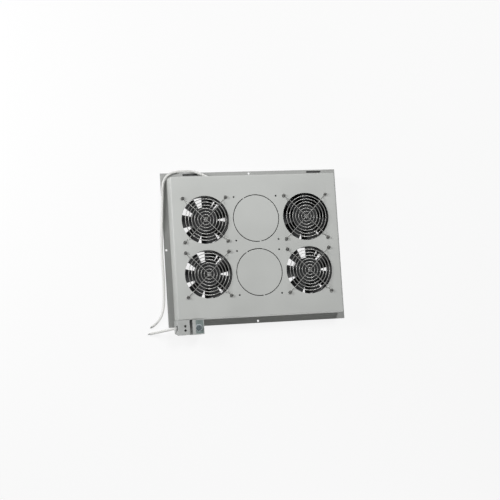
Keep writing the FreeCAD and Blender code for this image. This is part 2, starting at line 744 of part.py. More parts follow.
def make_terminal_box():
    housing = new_body("terminal_housing")
    outline = sketch_on(housing, "outline")
    terminal_outline(outline, "0 * box_wall", "0 * box_back")
    pad(housing, "block", outline, "box_height - terminal_cover")
    round_edges(housing, "upright_edges", is_upright, "box_edge")
    hollow = sketch_on(housing, "hollow_sketch", offset="box_floor")
    terminal_outline(hollow, "box_wall", "box_back")
    pocket(housing, "hollow", hollow, "box_height", reverse=True)
    entry = sketch_on(housing, "entry_sketch", "YZ_Plane")
    circle(entry, "-entry_depth", "entry_height", "entry_radius")
    pocket(housing, "entry", entry, "box_wall", reverse=True)
    back_holes(housing, "terminal_width")
    bind(housing, box_place("terminal_left"))

    cover = new_body("terminal_cover")
    outline = sketch_on(cover, "outline", offset="box_height - terminal_cover")
    terminal_outline(outline, "0 * box_wall", "0 * box_back")
    pad(cover, "plate", outline, "terminal_cover")
    round_edges(cover, "upright_edges", is_upright, "box_edge")
    round_edges(cover, "top_edges", lies_at(value["box_height"]), "box_edge / 2")
    wells = sketch_on(cover, "wells_sketch")
    for side in "-+":
        circle(wells, "well_x", f"-well_middle {side} well_pitch / 2", "well_radius")
    pocket(cover, "wells", wells, reverse=True)
    bind(cover, box_place("terminal_left"))

    block = new_body("terminal_block")
    outline = sketch_on(block, "outline", offset="box_floor")
    rectangle(outline, "block_left", "-well_middle - block_half", "block_right",
              "-well_middle + block_half")
    pad(block, "body", outline, "box_height - terminal_cover - box_floor - block_gap")
    bores = sketch_on(block, "bores_sketch", offset="clamp_bottom")
    for side in "-+":
        circle(bores, "well_x", f"-well_middle {side} well_pitch / 2", "well_radius")
    pocket(block, "bores", bores, reverse=True)
    wire_ways = sketch_on(block, "wire_ways_sketch", "YZ_Plane", offset="block_left")
    for side in "-+":
        circle(wire_ways, f"-well_middle {side} well_pitch / 2", "clamp_bottom + clamp_height / 2",
               "clamp_radius / 2")
    pocket(block, "wire_ways", wire_ways, "well_x - block_left", reverse=True)
    bind(block, box_place("terminal_left"))

    clamps = []
    screws = []
    for number, side in ((1, "-"), (2, "+")):
        middle = f"-pan_width / 2 - well_middle {side} well_pitch / 2"
        brass = cylinder(f"clamp_brass_{number}", "clamp_radius", "clamp_height",
                         at("terminal_left + well_x", middle, f"{BOX_BASE} + clamp_bottom"))
        wire_way = cylinder(f"clamp_way_{number}", "clamp_radius / 2", "2 * clamp_radius",
                            at("terminal_left + well_x", middle,
                               f"{BOX_BASE} + clamp_bottom + clamp_height / 2"))
        wire_way.Placement = FreeCAD.Placement(wire_way.Placement.Base,
                                               FreeCAD.Rotation(Vector(0, 1, 0), -90))
        clamps.append(cut(f"clamp_{number}", brass, [wire_way]))
        head = cylinder(f"clamp_head_{number}", "clamp_screw_head", "clamp_screw_length",
                        at("terminal_left + well_x", middle,
                           f"{BOX_BASE} + clamp_bottom + clamp_height"))
        slot = box(f"clamp_slot_{number}", "2 * clamp_screw_head", "clamp_screw_head / 3",
                   "clamp_screw_head / 2",
                   at("terminal_left + well_x - clamp_screw_head",
                      f"{middle} - clamp_screw_head / 6",
                      f"{BOX_BASE} + clamp_bottom + clamp_height + clamp_screw_length"
                      " - clamp_screw_head / 2"))
        screws.append(cut(f"clamp_screw_{number}", head, [slot]))

    collar = new_body("supply_grommet")
    tube_sketch = sketch_on(collar, "collar_sketch", "YZ_Plane", offset="-entry_collar_rim")
    circle(tube_sketch, "-entry_depth", "entry_height", "entry_radius")
    pad(collar, "collar", tube_sketch, "entry_collar_rim + box_wall")
    rim = sketch_on(collar, "rim_sketch", "YZ_Plane", offset="-entry_collar_rim")
    circle(rim, "-entry_depth", "entry_height", "entry_radius + entry_collar")
    pad(collar, "rim", rim, "entry_collar_rim")
    bore = sketch_on(collar, "bore_sketch", "YZ_Plane", offset="-entry_collar_rim")
    circle(bore, "-entry_depth", "entry_height", "lead_radius + entry_clearance")
    pocket(collar, "bore", bore, reverse=True)
    bind(collar, box_place("terminal_left"))
    return [housing, cover, block, group("terminal_clamps", clamps),
            group("terminal_screws", screws), collar]


def make_thermostat():
    width = "thermostat_width"
    housing = new_body("thermostat_housing")
    outline = sketch_on(housing, "outline")
    rectangle(outline, "0", "-box_depth", width, "0")
    pad(housing, "block", outline, "box_height - thermostat_cover")
    round_edges(housing, "upright_edges", is_upright, "box_edge")
    hollow = sketch_on(housing, "hollow_sketch", offset="box_floor")
    rectangle(hollow, "box_wall", "-box_depth + box_wall", f"{width} - box_wall", "-box_back")
    pocket(housing, "hollow", hollow, "box_height", reverse=True)
    back_holes(housing, width)
    vents = sketch_on(housing, "vent_sketch", "XZ_Plane", offset="box_depth")
    for number in range(int(value["vent_count"])):
        middle = f"{width} / 2 + ({number} - (vent_count - 1) / 2) * vent_pitch"
        rectangle(vents, f"{middle} - vent_width / 2", "vent_bottom",
                  f"{middle} + vent_width / 2", "vent_top")
    pocket(housing, "vents", vents, "box_wall")
    bind(housing, box_place("thermostat_left"))

    cover = new_body("thermostat_cover")
    outline = sketch_on(cover, "outline", offset="box_height - thermostat_cover")
    rectangle(outline, "0", "-box_depth", width, "0")
    pad(cover, "plate", outline, "thermostat_cover")
    round_edges(cover, "upright_edges", is_upright, "box_edge")
    round_edges(cover, "top_edges", lies_at(value["box_height"]), "box_edge / 2")
    recess = sketch_on(cover, "recess_sketch", offset="box_height - scale_sink")
    rectangle(recess, "scale_left", "-box_depth + scale_margin", f"{width} - scale_margin",
              "-scale_margin")
    pocket(cover, "recess", recess, "box_height", reverse=True)
    spindle_hole = sketch_on(cover, "spindle_hole_sketch")
    circle(spindle_hole, "dial_x", "-dial_depth", "spindle_radius + spindle_clearance")
    pocket(cover, "spindle_hole", spindle_hole, reverse=True)
    bind(cover, box_place("thermostat_left"))

    scale = new_body("thermostat_scale")
    outline = sketch_on(scale, "outline", offset="box_height - scale_sink")
    rectangle(outline, "scale_left + scale_clearance",
              "-box_depth + scale_margin + scale_clearance",
              f"{width} - scale_margin - scale_clearance", "-scale_margin - scale_clearance")
    circle(outline, "dial_x", "-dial_depth", "spindle_radius + 5 * scale_clearance")
    pad(scale, "plate", outline, "scale_sink - scale_clearance")
    bind(scale, box_place("thermostat_left"))

    dial = new_body("thermostat_dial")
    profile = sketch_on(dial, "dial_profile", "XZ_Plane")
    polygon(profile, [
        ("0", "-spindle_length"), ("spindle_radius", "-spindle_length"),
        ("spindle_radius", "0"), ("dial_radius", "0"), ("dial_radius", "dial_skirt"),
        ("dial_neck", "dial_skirt + dial_slope"), ("dial_shoulder", "dial_height - dial_slope"),
        ("dial_top", "dial_height"), ("0", "dial_height"),
    ])
    revolve(dial, "knob", profile)
    pointer = sketch_on(dial, "pointer_sketch", offset="dial_height - dial_slot_depth")
    rectangle(pointer, "-dial_slot_width / 2", "-dial_slot_start", "dial_slot_width / 2",
              "dial_radius")
    pocket(dial, "pointer_slot", pointer, "dial_height", reverse=True)
    dial_place = at("thermostat_left + dial_x", "-pan_width / 2 - dial_depth",
                    f"{BOX_BASE} + box_height + dial_gap")
    bind(dial, dial_place)

    cam_top = f"{BOX_BASE} + box_height - thermostat_cover - cam_gap"
    cam_disc = cylinder("cam_disc", "cam_radius", "cam_height",
                        at("thermostat_left + dial_x + cam_offset",
                           "-pan_width / 2 - dial_depth", f"{cam_top} - cam_height"))
    cam_bore = cylinder("cam_bore", "spindle_radius", "cam_height",
                        at("thermostat_left + dial_x", "-pan_width / 2 - dial_depth",
                           f"{cam_top} - cam_height"))
    cam = cut("thermostat_cam", cam_disc, [cam_bore])

    contacts = box("thermostat_contacts", f"{width} - 2 * box_wall - 2 * contact_inset",
                   "box_depth - box_back - box_wall - 2 * contact_inset", "contact_height",
                   at("thermostat_left + box_wall + contact_inset",
                      "-pan_width / 2 - box_depth + box_wall + contact_inset",
                      f"{BOX_BASE} + box_floor"))

    bimetal = new_body("thermostat_bimetal")
    profile = sketch_on(bimetal, "strip_profile", "XZ_Plane",
                        offset="dial_depth - bimetal_width / 2")
    foot = "box_floor + contact_height"
    blade_top = ("(box_height + dial_gap - spindle_length - bimetal_gap)")
    left = "(box_wall + 2 * contact_inset)"
    right = "(dial_x + spindle_radius + contact_inset)"
    polygon(profile, [
        (left, foot), (f"{left} + 3 * contact_inset", foot),
        (f"{left} + 3 * contact_inset", f"{foot} + bimetal_thickness"),
        (f"{left} + bimetal_thickness", f"{foot} + bimetal_thickness"),
        (f"{left} + bimetal_thickness", f"{blade_top} - bimetal_thickness"),
        (right, f"{blade_top} - bimetal_thickness"), (right, blade_top), (left, blade_top),
    ])
    pad(bimetal, "strip", profile, "bimetal_width")
    bind(bimetal, box_place("thermostat_left"))
    return [housing, cover, scale, dial, cam, contacts, bimetal]


def make_box_fixings():
    """Four screws put in from inside the pan, and the two grommets round the wires' holes."""
    screws = []
    grommets = []
    for name, (left, width) in zip(("terminal", "thermostat"), BOXES):
        for number, side in ((1, "-"), (2, "+")):
            x = f"{left} + {width} / 2 {side} ({width} / 2 - fixing_inset)"
            shank = cylinder(f"{name}_shank_{number}", "fixing_radius", "fixing_length",
                             at(x, "-pan_width / 2 + sheet", f"{BOX_BASE} + fixing_height"))
            head = cylinder(f"{name}_head_{number}", "fixing_head_radius", "fixing_head",
                            at(x, "-pan_width / 2 + sheet + fixing_head",
                               f"{BOX_BASE} + fixing_height"))
            for piece in (shank, head):
                piece.Placement = FreeCAD.Placement(piece.Placement.Base,
                                                    FreeCAD.Rotation(Vector(1, 0, 0), 90))
            screws.append(fuse(f"{name}_fixing_{number}", [shank, head]))
        collar = new_body(f"{name}_wiring_grommet")
        for part, radius, start, length in (
                ("flange", "wiring_radius + 2 * wiring_rim", "-sheet - wiring_rim", "wiring_rim"),
                ("neck", "wiring_radius + wiring_rim", "-sheet", "sheet")):
            sketch = sketch_on(collar, f"{part}_sketch", "XZ_Plane", offset=start)
            circle(sketch, "0", "0", radius)
            pad(collar, part, sketch, length)
        bore = sketch_on(collar, "bore_sketch", "XZ_Plane")
        circle(bore, "0", "0", "wiring_radius")
        pocket(collar, "bore", bore)
        bind(collar, at(f"{left} + {width} / 2", "-pan_width / 2", f"{BOX_BASE} + wiring_height"))
        grommets.append(collar)
    return [group("box_fixings", screws), group("wiring_grommets", grommets)]


# ---- lead opening, connector and earth stud --------------------------------------------------

def make_lead_edging():
    """Oval rubber edging of the opening that the fan lead leaves by."""
    body = new_body("lead_edging")
    layers = (("outer_rim", "2 * edging_rim", "0 * sheet", "edging_depth"),
              ("neck", "edging_rim", "-sheet", "sheet"),
              ("inner_rim", "2 * edging_rim", "-sheet - edging_depth", "edging_depth"))
    for name, grow, start, length in layers:
        radius = f"(lead_opening_radius + {grow})"
        sketch = sketch_on(body, f"{name}_sketch", "XZ_Plane", offset=f"-({start}) - {length}")
        rectangle(sketch, "-lead_opening_half", f"-{radius}", "lead_opening_half", radius)
        pad(body, name, sketch, length)
        ends = sketch_on(body, f"{name}_ends_sketch", "XZ_Plane", offset=f"-({start}) - {length}")
        for side in "-+":
            circle(ends, f"{side} lead_opening_half", "0", radius)
        pad(body, f"{name}_ends", ends, length)
    for reverse in (False, True):
        obround(body, f"way_{'in' if reverse else 'out'}", "XZ_Plane", "0 * sheet", "0 * sheet",
                "lead_opening_half", "lead_opening_radius", reverse=reverse)
    bind(body, at("lead_opening_x", "pan_width / 2", "lead_opening_z"))
    return body


def make_connector():
    """Three-pole strip that joins the fan lead to the fans, fixed inside the rear wall."""
    body = new_body("lead_connector")
    outline = sketch_on(body, "outline")
    rectangle(outline, "-connector_length", "-connector_depth", "0", "0")
    pad(body, "strip", outline, "connector_height")
    wells = sketch_on(body, "wells_sketch")
    for number in range(int(value["connector_poles"])):
        circle(wells, f"-connector_length * ({number} + 0.5) / connector_poles",
               "-connector_depth / 2", "connector_well")
    pocket(body, "wells", wells, "connector_well_depth", reverse=True)
    bind(body, at("connector_right", "pan_width / 2 - sheet", "connector_bottom"))
    return body


def make_earth_stud():
    stud = cylinder("earth_stud", "earth_radius", "earth_length",
                    at("earth_x", "-pan_width / 2 + sheet", "earth_z"))
    stud.Placement = FreeCAD.Placement(stud.Placement.Base,
                                       FreeCAD.Rotation(Vector(1, 0, 0), -90))
    hexagon = doc.addObject("Part::Prism", "earth_hexagon")
    hexagon.Polygon = 6
    bind(hexagon, {"Circumradius": "nut_across_corners / 2", "Height": "nut_height",
                   **at("earth_x", "-pan_width / 2 + sheet", "earth_z")})
    bore = cylinder("earth_nut_bore", "earth_radius + nut_clearance", "nut_height",
                    at("earth_x", "-pan_width / 2 + sheet", "earth_z"))
    for piece in (hexagon, bore):
        piece.Placement = FreeCAD.Placement(piece.Placement.Base,
                                            FreeCAD.Rotation(Vector(1, 0, 0), -90))
    return [stud, cut("earth_nut", hexagon, [bore])]


# ---- leads -----------------------------------------------------------------------------------

LEADS_DRAWN_FOR = (410, 340)  # pan length and width
FAN_LEAD = [
    (-38, 155.4, 14.8), (-61, 155.4, 14.8), (-83, 160, 13.4), (-104.5, 171.6, 11),
    (-121, 180.6, 7.8), (-139, 188, 4), (-160, 188.9, 3.1), (-178, 188.2, 3.6), (-193, 185.4, 5),
    (-204.6, 178.4, 5), (-212.4, 168, 4.9), (-216, 154.3, 4.85), (-217.3, 131, 4.85),
    (-219.4, 109, 4.85), (-221.4, 83, 4.8), (-224.1, 49, 3.5), (-226.1, 14, 3.1),
    (-226.6, -25, 3.1), (-226, -64, 3.1), (-226.9, -102, 3.1), (-229, -132, 3.1),
    (-233.6, -150.5, 3.1), (-241, -164.5, 3.1), (-252, -175.2, 3.1), (-259.6, -180, 3.1),
]
SUPPLY_LEAD = [
    (-198.5, -188.4, 34.2), (-211, -188.4, 34.2), (-223.2, -190.3, 29.7), (-234.7, -192.3, 20.1),
    (-245.1, -194, 10.1), (-255, -195.6, 5.5), (-265.3, -197.2, 3.8),
]


def make_lead(name, numbers):
    """Round flexible lead: its sheath, and three cores that leave the end in their ferrules."""
    stretch_x = value["pan_length"] / LEADS_DRAWN_FOR[0]
    stretch_y = value["pan_width"] / LEADS_DRAWN_FOR[1]
    stretch_z = (value["sheet"] + value["box_lift"] + value["entry_height"]) / numbers[0][2] \
        if name == "supply_lead" else 1
    points = [Vector(x * stretch_x, y * stretch_y, z * stretch_z) for x, y, z in numbers]
    radius = value["lead_radius"]
    sheath, radii, length = tube(points, radius)
    expected = math.pi * radius ** 2 * length
    print(f"{name}: length {length:.1f}, radii {[round(bend, 1) for bend in radii]}, "
          f"volume {sheath.Volume:.0f} of {expected:.0f}")
    way = (points[-1] - points[-2]).normalize()
    aside = way.cross(UP).normalize()
    cores = []
    for number in range(3):
        turned = FreeCAD.Rotation(way, 90 + 120 * number).multVec(aside)
        start = points[-1] + turned * value["core_offset"]
        sleeve = Part.makeCylinder(value["core_radius"], value["core_length"], start, way)
        ferrule = Part.makeCylinder(value["ferrule_radius"], value["ferrule_length"],
                                    start + way * value["core_length"], way)
        cores.append(sleeve.fuse(ferrule))
    return [feature_from(name, sheath), feature_from(f"{name}_cores", Part.makeCompound(cores))]


# ---- the whole tray --------------------------------------------------------------------------

def main():
    pieces = [make_pan(), make_slot_plugs()]
    pieces += make_fans()
    pieces += make_terminal_box()
    pieces += make_thermostat()
    pieces += make_box_fixings()
    pieces += [make_lead_edging(), make_connector()]
    pieces += make_earth_stud()
    pieces += make_lead("fan_lead", FAN_LEAD)
    pieces += make_lead("supply_lead", SUPPLY_LEAD)
    doc.recompute()

    failed = [made.Label for made in doc.Objects
              if "Invalid" in made.State or "Error" in made.State]
    if failed:
        raise RuntimeError(f"failed: {failed}")
    for piece in pieces:
        if piece.Shape.isNull() or not piece.Shape.isValid():
            raise RuntimeError(f"{piece.Label} has no valid shape")
    os.makedirs("parts", exist_ok=True)
    for piece in pieces:
        piece.Shape.exportStep(f"parts/{piece.Label}.step")
    print(f"{len(pieces)} sub-parts written")


main()
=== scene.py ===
import bpy
import bmesh
import math
from mathutils import Matrix, Vector


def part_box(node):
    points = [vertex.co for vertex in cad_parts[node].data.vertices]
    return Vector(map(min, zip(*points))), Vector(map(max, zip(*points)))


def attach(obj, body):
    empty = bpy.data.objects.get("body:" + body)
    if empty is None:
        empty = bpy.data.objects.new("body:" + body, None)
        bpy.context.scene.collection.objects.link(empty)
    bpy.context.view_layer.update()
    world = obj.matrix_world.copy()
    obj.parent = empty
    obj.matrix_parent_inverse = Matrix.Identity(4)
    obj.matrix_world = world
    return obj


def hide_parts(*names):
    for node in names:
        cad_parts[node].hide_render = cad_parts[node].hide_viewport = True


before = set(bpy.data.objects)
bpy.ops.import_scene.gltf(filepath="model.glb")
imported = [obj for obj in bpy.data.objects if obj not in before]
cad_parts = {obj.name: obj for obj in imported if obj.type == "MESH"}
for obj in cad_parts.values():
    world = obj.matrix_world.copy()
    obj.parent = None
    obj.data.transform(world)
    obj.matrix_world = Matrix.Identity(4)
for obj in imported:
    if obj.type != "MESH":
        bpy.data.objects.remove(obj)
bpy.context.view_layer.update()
mm = 0.001  # the frame is in metres
up = Vector((0, 0, 1))
fanNumbers = (1, 2, 3, 4)
weldGap = 0.0001 * mm  # vertices nearer than this are one


def report(stage):
    print("stage:", stage)


view = {
    "place": (-0.823, -0.278, 3.0355),
    "turnDeg": (4.92, -15.02, -3.66),  # about X, Y and Z
    "lens": 93.6,
    "clipEnd": 50,
}
lamps = {  # square area lamps that look at the frame's origin
    "key": {"place": (0.7, 1.3, 2.2), "size": 0.8, "watts": 38},
    "left": {"place": (-1.5, 0.5, 0.8), "size": 0.6, "watts": 20},
    "low": {"place": (0.15, -1.6, 0.16), "size": 0.5, "watts": 12.5},
}
studio = {
    "ambient": 0.06,
    "floorHalf": 6.0,
    "floorHeight": -0.4 * mm,
    "floorColour": "e6e6e6",
    "floorShade": 0.14,  # how much of the shadow shows on the white
    # low and high corner of each card, in X and Y
    "shadeCards": [((-0.063, -0.13), (0.074, 0.13)), ((0.074, 0.032), (0.19, 0.13))],
    "cardHeight": 0.2 * mm,
    # painted shade: near-black cards in place of the shade under the tray
    "shadeCardColour": "141414",
    "cardRoughness": 0.9,
}

camera = bpy.data.objects.new("camera", bpy.data.cameras.new("camera"))
camera.location = view["place"]
camera.rotation_mode = "ZXY"
camera.rotation_euler = [math.radians(turn) for turn in view["turnDeg"]]
camera.data.lens = view["lens"]
camera.data.clip_end = view["clipEnd"]
bpy.context.scene.collection.objects.link(camera)
bpy.context.scene.camera = camera
bpy.context.scene.view_settings.view_transform = "Standard"

for name, lampFacts in lamps.items():
    lamp = bpy.data.objects.new(name, bpy.data.lights.new(name, "AREA"))
    lamp.data.size = lampFacts["size"]
    lamp.data.energy = lampFacts["watts"]
    lamp.location = lampFacts["place"]
    lamp.rotation_mode = "QUATERNION"
    lamp.rotation_quaternion = (-Vector(lampFacts["place"])).to_track_quat("-Z", "Y")
    bpy.context.scene.collection.objects.link(lamp)


spreadOfNoise = {"From Min": 0.3, "From Max": 0.7}  # where nearly all of a noise texture lies


def linear(hexText):
    # sRGB hex to the linear colour that the shaders work in
    channels = [int(hexText[i:i + 2], 16) / 255 for i in (0, 2, 4)]
    return [c / 12.92 if c <= 0.04045 else ((c + 0.055) / 1.055) ** 2.4 for c in channels] + [1]


def addNode(tree, kind, inputs=None, **settings):
    # one node with its settings, and its sockets set or linked
    node = tree.nodes.new(kind)
    for name, value in settings.items():
        setattr(node, name, value)
    for socket, value in (inputs or {}).items():
        if isinstance(value, bpy.types.NodeSocket):
            tree.links.new(value, node.inputs[socket])
        else:
            node.inputs[socket].default_value = value
    return node


def lightWorld():
    # grey light for the object, plain white for what the camera and shiny metal see behind it
    world = bpy.data.worlds.new("studio")
    world.use_nodes = True
    tree = world.node_tree
    tree.nodes.clear()
    path = addNode(tree, "ShaderNodeLightPath")
    through = addNode(tree, "ShaderNodeMath", {
        0: path.outputs["Is Camera Ray"], 1: path.outputs["Is Transmission Ray"]},
        operation="MAXIMUM")
    seen = addNode(tree, "ShaderNodeMath", {
        0: through.outputs[0], 1: path.outputs["Is Glossy Ray"]}, operation="MAXIMUM")
    soft = addNode(tree, "ShaderNodeBackground", {
        "Color": (1, 1, 1, 1), "Strength": studio["ambient"]})
    white = addNode(tree, "ShaderNodeBackground", {"Color": (1, 1, 1, 1), "Strength": 1})
    mix = addNode(tree, "ShaderNodeMixShader", {
        0: seen.outputs[0], 1: soft.outputs[0], 2: white.outputs[0]})
    addNode(tree, "ShaderNodeOutputWorld", {"Surface": mix.outputs[0]})
    bpy.context.scene.world = world


lightWorld()


def floorPaper():
    # plain white where it is looked at, a little darker in the object's shadow
    material = bpy.data.materials.new("white studio floor")
    material.use_nodes = True
    tree = material.node_tree
    tree.nodes.clear()
    path = addNode(tree, "ShaderNodeLightPath")
    seen = addNode(tree, "ShaderNodeMath", {
        0: path.outputs["Is Camera Ray"], 1: path.outputs["Is Glossy Ray"]}, operation="MAXIMUM")
    paper = addNode(tree, "ShaderNodeBsdfDiffuse", {"Color": linear(studio["floorColour"])})
    glow = addNode(tree, "ShaderNodeEmission", {"Color": (1, 1, 1, 1), "Strength": 1})
    lit = addNode(tree, "ShaderNodeMixShader", {
        0: studio["floorShade"], 1: glow.outputs[0], 2: paper.outputs[0]})
    mix = addNode(tree, "ShaderNodeMixShader", {
        0: seen.outputs[0], 1: paper.outputs[0], 2: lit.outputs[0]})
    addNode(tree, "ShaderNodeOutputMaterial", {"Surface": mix.outputs[0]})
    return material


def layFloor():
    sheet = bmesh.new()
    bmesh.ops.create_grid(sheet, x_segments=1, y_segments=1, size=studio["floorHalf"])
    bmesh.ops.translate(sheet, verts=sheet.verts, vec=up * studio["floorHeight"])
    floor = bpy.data.objects.new("floor", bpy.data.meshes.new("floor"))
    sheet.to_mesh(floor.data)
    sheet.free()
    floor.data.materials.append(floorPaper())
    bpy.context.scene.collection.objects.link(floor)


def layShadeCards():
    # dark cards on the floor, out of sight under the tray: painted shade standing in for the shade
    # inside it, so that its slots and small holes look dark
    material = bpy.data.materials.new("black card for painted shade")
    material.use_nodes = True
    shader = material.node_tree.nodes["Principled BSDF"]
    shader.inputs["Base Color"].default_value = linear(studio["shadeCardColour"])
    shader.inputs["Roughness"].default_value = studio["cardRoughness"]
    sheets = bmesh.new()
    for low, high in studio["shadeCards"]:
        middle = ((low[0] + high[0]) / 2, (low[1] + high[1]) / 2, studio["cardHeight"])
        size = (high[0] - low[0], high[1] - low[1], 1, 1)
        bmesh.ops.create_grid(sheets, x_segments=1, y_segments=1, size=0.5,
                              matrix=Matrix.Translation(middle) @ Matrix.Diagonal(size))
    shadeCards = bpy.data.objects.new("shadeCards", bpy.data.meshes.new("shadeCards"))
    sheets.to_mesh(shadeCards.data)
    sheets.free()
    shadeCards.data.materials.append(material)
    bpy.context.scene.collection.objects.link(shadeCards)


layFloor()
layShadeCards()
report("camera, lamps and floor")


def newFinish(name):
    # an empty material, and the piece's own coordinates for its patterns
    material = bpy.data.materials.new(name)
    material.use_nodes = True
    tree = material.node_tree
    tree.nodes.clear()
    return material, tree, addNode(tree, "ShaderNodeTexCoord").outputs["Object"]


powder = {
    "dark": "bec0bd",
    "light": "c5c7c4",
    # painted shade: the colour the lip is darkened to, standing in for the shadow of the pan's walls
    "paintedLipShade": "9d9e9c",
    "paintedShadeFrom": 5 * mm,  # height at which the painted shade on the lip begins, downwards
    "paintedShadeTo": 1.6 * mm,
    "peelSize": 1.6 * mm,
    "driftSize": 90 * mm,
}


def powderCoat():
    # polyester powder on sheet steel, baked: satin light grey with a fine orange peel,
    # and painted shade that darkens the lip below the height of the bends, in place of the walls' shadow
    material, tree, place = newFinish("powder coat light grey")
    peel = addNode(tree, "ShaderNodeTexNoise", {
        "Vector": place, "Scale": 1 / powder["peelSize"], "Detail": 1.5})
    drift = addNode(tree, "ShaderNodeTexNoise", {
        "Vector": place, "Scale": 1 / powder["driftSize"], "Detail": 1})
    even = addNode(tree, "ShaderNodeMapRange", {"Value": drift.outputs["Fac"], **spreadOfNoise})
    colour = addNode(tree, "ShaderNodeMix", {
        0: even.outputs[0], 6: linear(powder["dark"]), 7: linear(powder["light"])},
        data_type="RGBA")
    axes = addNode(tree, "ShaderNodeSeparateXYZ", {0: place})
    # painted shade: the lip below the bends is darkened by height, not by any lamp
    paintedLipShade = addNode(tree, "ShaderNodeMapRange", {
        "Value": axes.outputs["Z"],
        "From Min": powder["paintedShadeFrom"], "From Max": powder["paintedShadeTo"]})
    lipWithPaintedShade = addNode(tree, "ShaderNodeMix", {
        0: paintedLipShade.outputs[0], 6: colour.outputs[2], 7: linear(powder["paintedLipShade"])},
        data_type="RGBA")
    sheen = addNode(tree, "ShaderNodeMapRange", {
        "Value": even.outputs[0], "To Min": 0.42, "To Max": 0.52})
    relief = addNode(tree, "ShaderNodeBump", {
        "Height": peel.outputs["Fac"], "Distance": 0.05 * mm, "Strength": 0.35})
    shader = addNode(tree, "ShaderNodeBsdfPrincipled", {
        "Base Color": lipWithPaintedShade.outputs[2], "Roughness": sheen.outputs[0], "Normal": relief.outputs[0],
        "IOR": 1.5, "Specular IOR Level": 0.35})
    addNode(tree, "ShaderNodeOutputMaterial", {"Surface": shader.outputs[0]})
    return material


casting = {
    "dark": "121213",
    "light": "1c1d1e",
    "pitSize": 0.9 * mm,
    "patchSize": 14 * mm,
}


def castingPaint():
    # black stoving paint on die-cast aluminium: dull, with the casting's fine pitting
    material, tree, place = newFinish("black painted die casting")
    pits = addNode(tree, "ShaderNodeTexNoise", {
        "Vector": place, "Scale": 1 / casting["pitSize"], "Detail": 3})
    patch = addNode(tree, "ShaderNodeTexNoise", {
        "Vector": place, "Scale": 1 / casting["patchSize"], "Detail": 2})
    even = addNode(tree, "ShaderNodeMapRange", {"Value": patch.outputs["Fac"], **spreadOfNoise})
    colour = addNode(tree, "ShaderNodeMix", {
        0: even.outputs[0], 6: linear(casting["dark"]), 7: linear(casting["light"])},
        data_type="RGBA")
    sheen = addNode(tree, "ShaderNodeMapRange", {
        "Value": even.outputs[0], "To Min": 0.45, "To Max": 0.6})
    relief = addNode(tree, "ShaderNodeBump", {
        "Height": pits.outputs["Fac"], "Distance": 0.08 * mm, "Strength": 0.5})
    shader = addNode(tree, "ShaderNodeBsdfPrincipled", {
        "Base Color": colour.outputs[2], "Roughness": sheen.outputs[0], "Normal": relief.outputs[0],
        "IOR": 1.5, "Specular IOR Level": 0.25})
    addNode(tree, "ShaderNodeOutputMaterial", {"Surface": shader.outputs[0]})
    return material


blade = {
    "dark": "141516",
    "light": "1e2021",
    "flowSize": 22 * mm,
    "grainSize": 0.7 * mm,
}


def bladePlastic():
    # glass-filled nylon, moulded: black with a soft sheen and faint flow marks
    material, tree, place = newFinish("moulded black nylon")
    flow = addNode(tree, "ShaderNodeTexNoise", {
        "Vector": place, "Scale": 1 / blade["flowSize"], "Detail": 3, "Distortion": 1.5})
    grain = addNode(tree, "ShaderNodeTexNoise", {
        "Vector": place, "Scale": 1 / blade["grainSize"], "Detail": 2})
    even = addNode(tree, "ShaderNodeMapRange", {"Value": flow.outputs["Fac"], **spreadOfNoise})
    colour = addNode(tree, "ShaderNodeMix", {
        0: even.outputs[0], 6: linear(blade["dark"]), 7: linear(blade["light"])},
        data_type="RGBA")
    sheen = addNode(tree, "ShaderNodeMapRange", {
        "Value": even.outputs[0], "To Min": 0.4, "To Max": 0.52})
    relief = addNode(tree, "ShaderNodeBump", {
        "Height": grain.outputs["Fac"], "Distance": 0.03 * mm, "Strength": 0.4})
    shader = addNode(tree, "ShaderNodeBsdfPrincipled", {
        "Base Color": colour.outputs[2], "Roughness": sheen.outputs[0], "Normal": relief.outputs[0],
        "IOR": 1.53, "Specular IOR Level": 0.25})
    addNode(tree, "ShaderNodeOutputMaterial", {"Surface": shader.outputs[0]})
    return material


def platedMetal(name, darkHex, lightHex, cloudSize, low, high):
    # plated or rolled metal: a soft, slightly cloudy shine, its roughness between low and high
    material, tree, place = newFinish(name)
    cloud = addNode(tree, "ShaderNodeTexNoise", {
        "Vector": place, "Scale": 1 / cloudSize, "Detail": 3})
    even = addNode(tree, "ShaderNodeMapRange", {"Value": cloud.outputs["Fac"], **spreadOfNoise})
    colour = addNode(tree, "ShaderNodeMix", {
        0: even.outputs[0], 6: linear(darkHex), 7: linear(lightHex)}, data_type="RGBA")
    sheen = addNode(tree, "ShaderNodeMapRange", {
        "Value": even.outputs[0], "To Min": low, "To Max": high})
    relief = addNode(tree, "ShaderNodeBump", {
        "Height": cloud.outputs["Fac"], "Distance": 0.02 * mm, "Strength": 0.3})
    shader = addNode(tree, "ShaderNodeBsdfPrincipled", {
        "Base Color": colour.outputs[2], "Roughness": sheen.outputs[0], "Normal": relief.outputs[0],
        "Metallic": 1})
    addNode(tree, "ShaderNodeOutputMaterial", {"Surface": shader.outputs[0]})
    return material


shaftSteel = {
    "dark": "a9abad",
    "light": "c9cbcc",
    "markSize": 2.4 * mm,
}


def groundSteel():
    # ground shaft steel: bright, with fine marks round it
    material, tree, place = newFinish("ground steel")
    marks = addNode(tree, "ShaderNodeTexWave", {
        "Vector": place, "Scale": 1 / shaftSteel["markSize"], "Distortion": 2},
        bands_direction="Z")
    colour = addNode(tree, "ShaderNodeMix", {
        0: marks.outputs["Fac"], 6: linear(shaftSteel["dark"]), 7: linear(shaftSteel["light"])},
        data_type="RGBA")
    sheen = addNode(tree, "ShaderNodeMapRange", {
        "Value": marks.outputs["Fac"], "To Min": 0.2, "To Max": 0.32})
    shader = addNode(tree, "ShaderNodeBsdfPrincipled", {
        "Base Color": colour.outputs[2], "Roughness": sheen.outputs[0], "Metallic": 1})
    addNode(tree, "ShaderNodeOutputMaterial", {"Surface": shader.outputs[0]})
    return material


core = {
    "dark": "2c1b10",
    "light": "6a4526",
    "layerSize": 6 * mm,
}


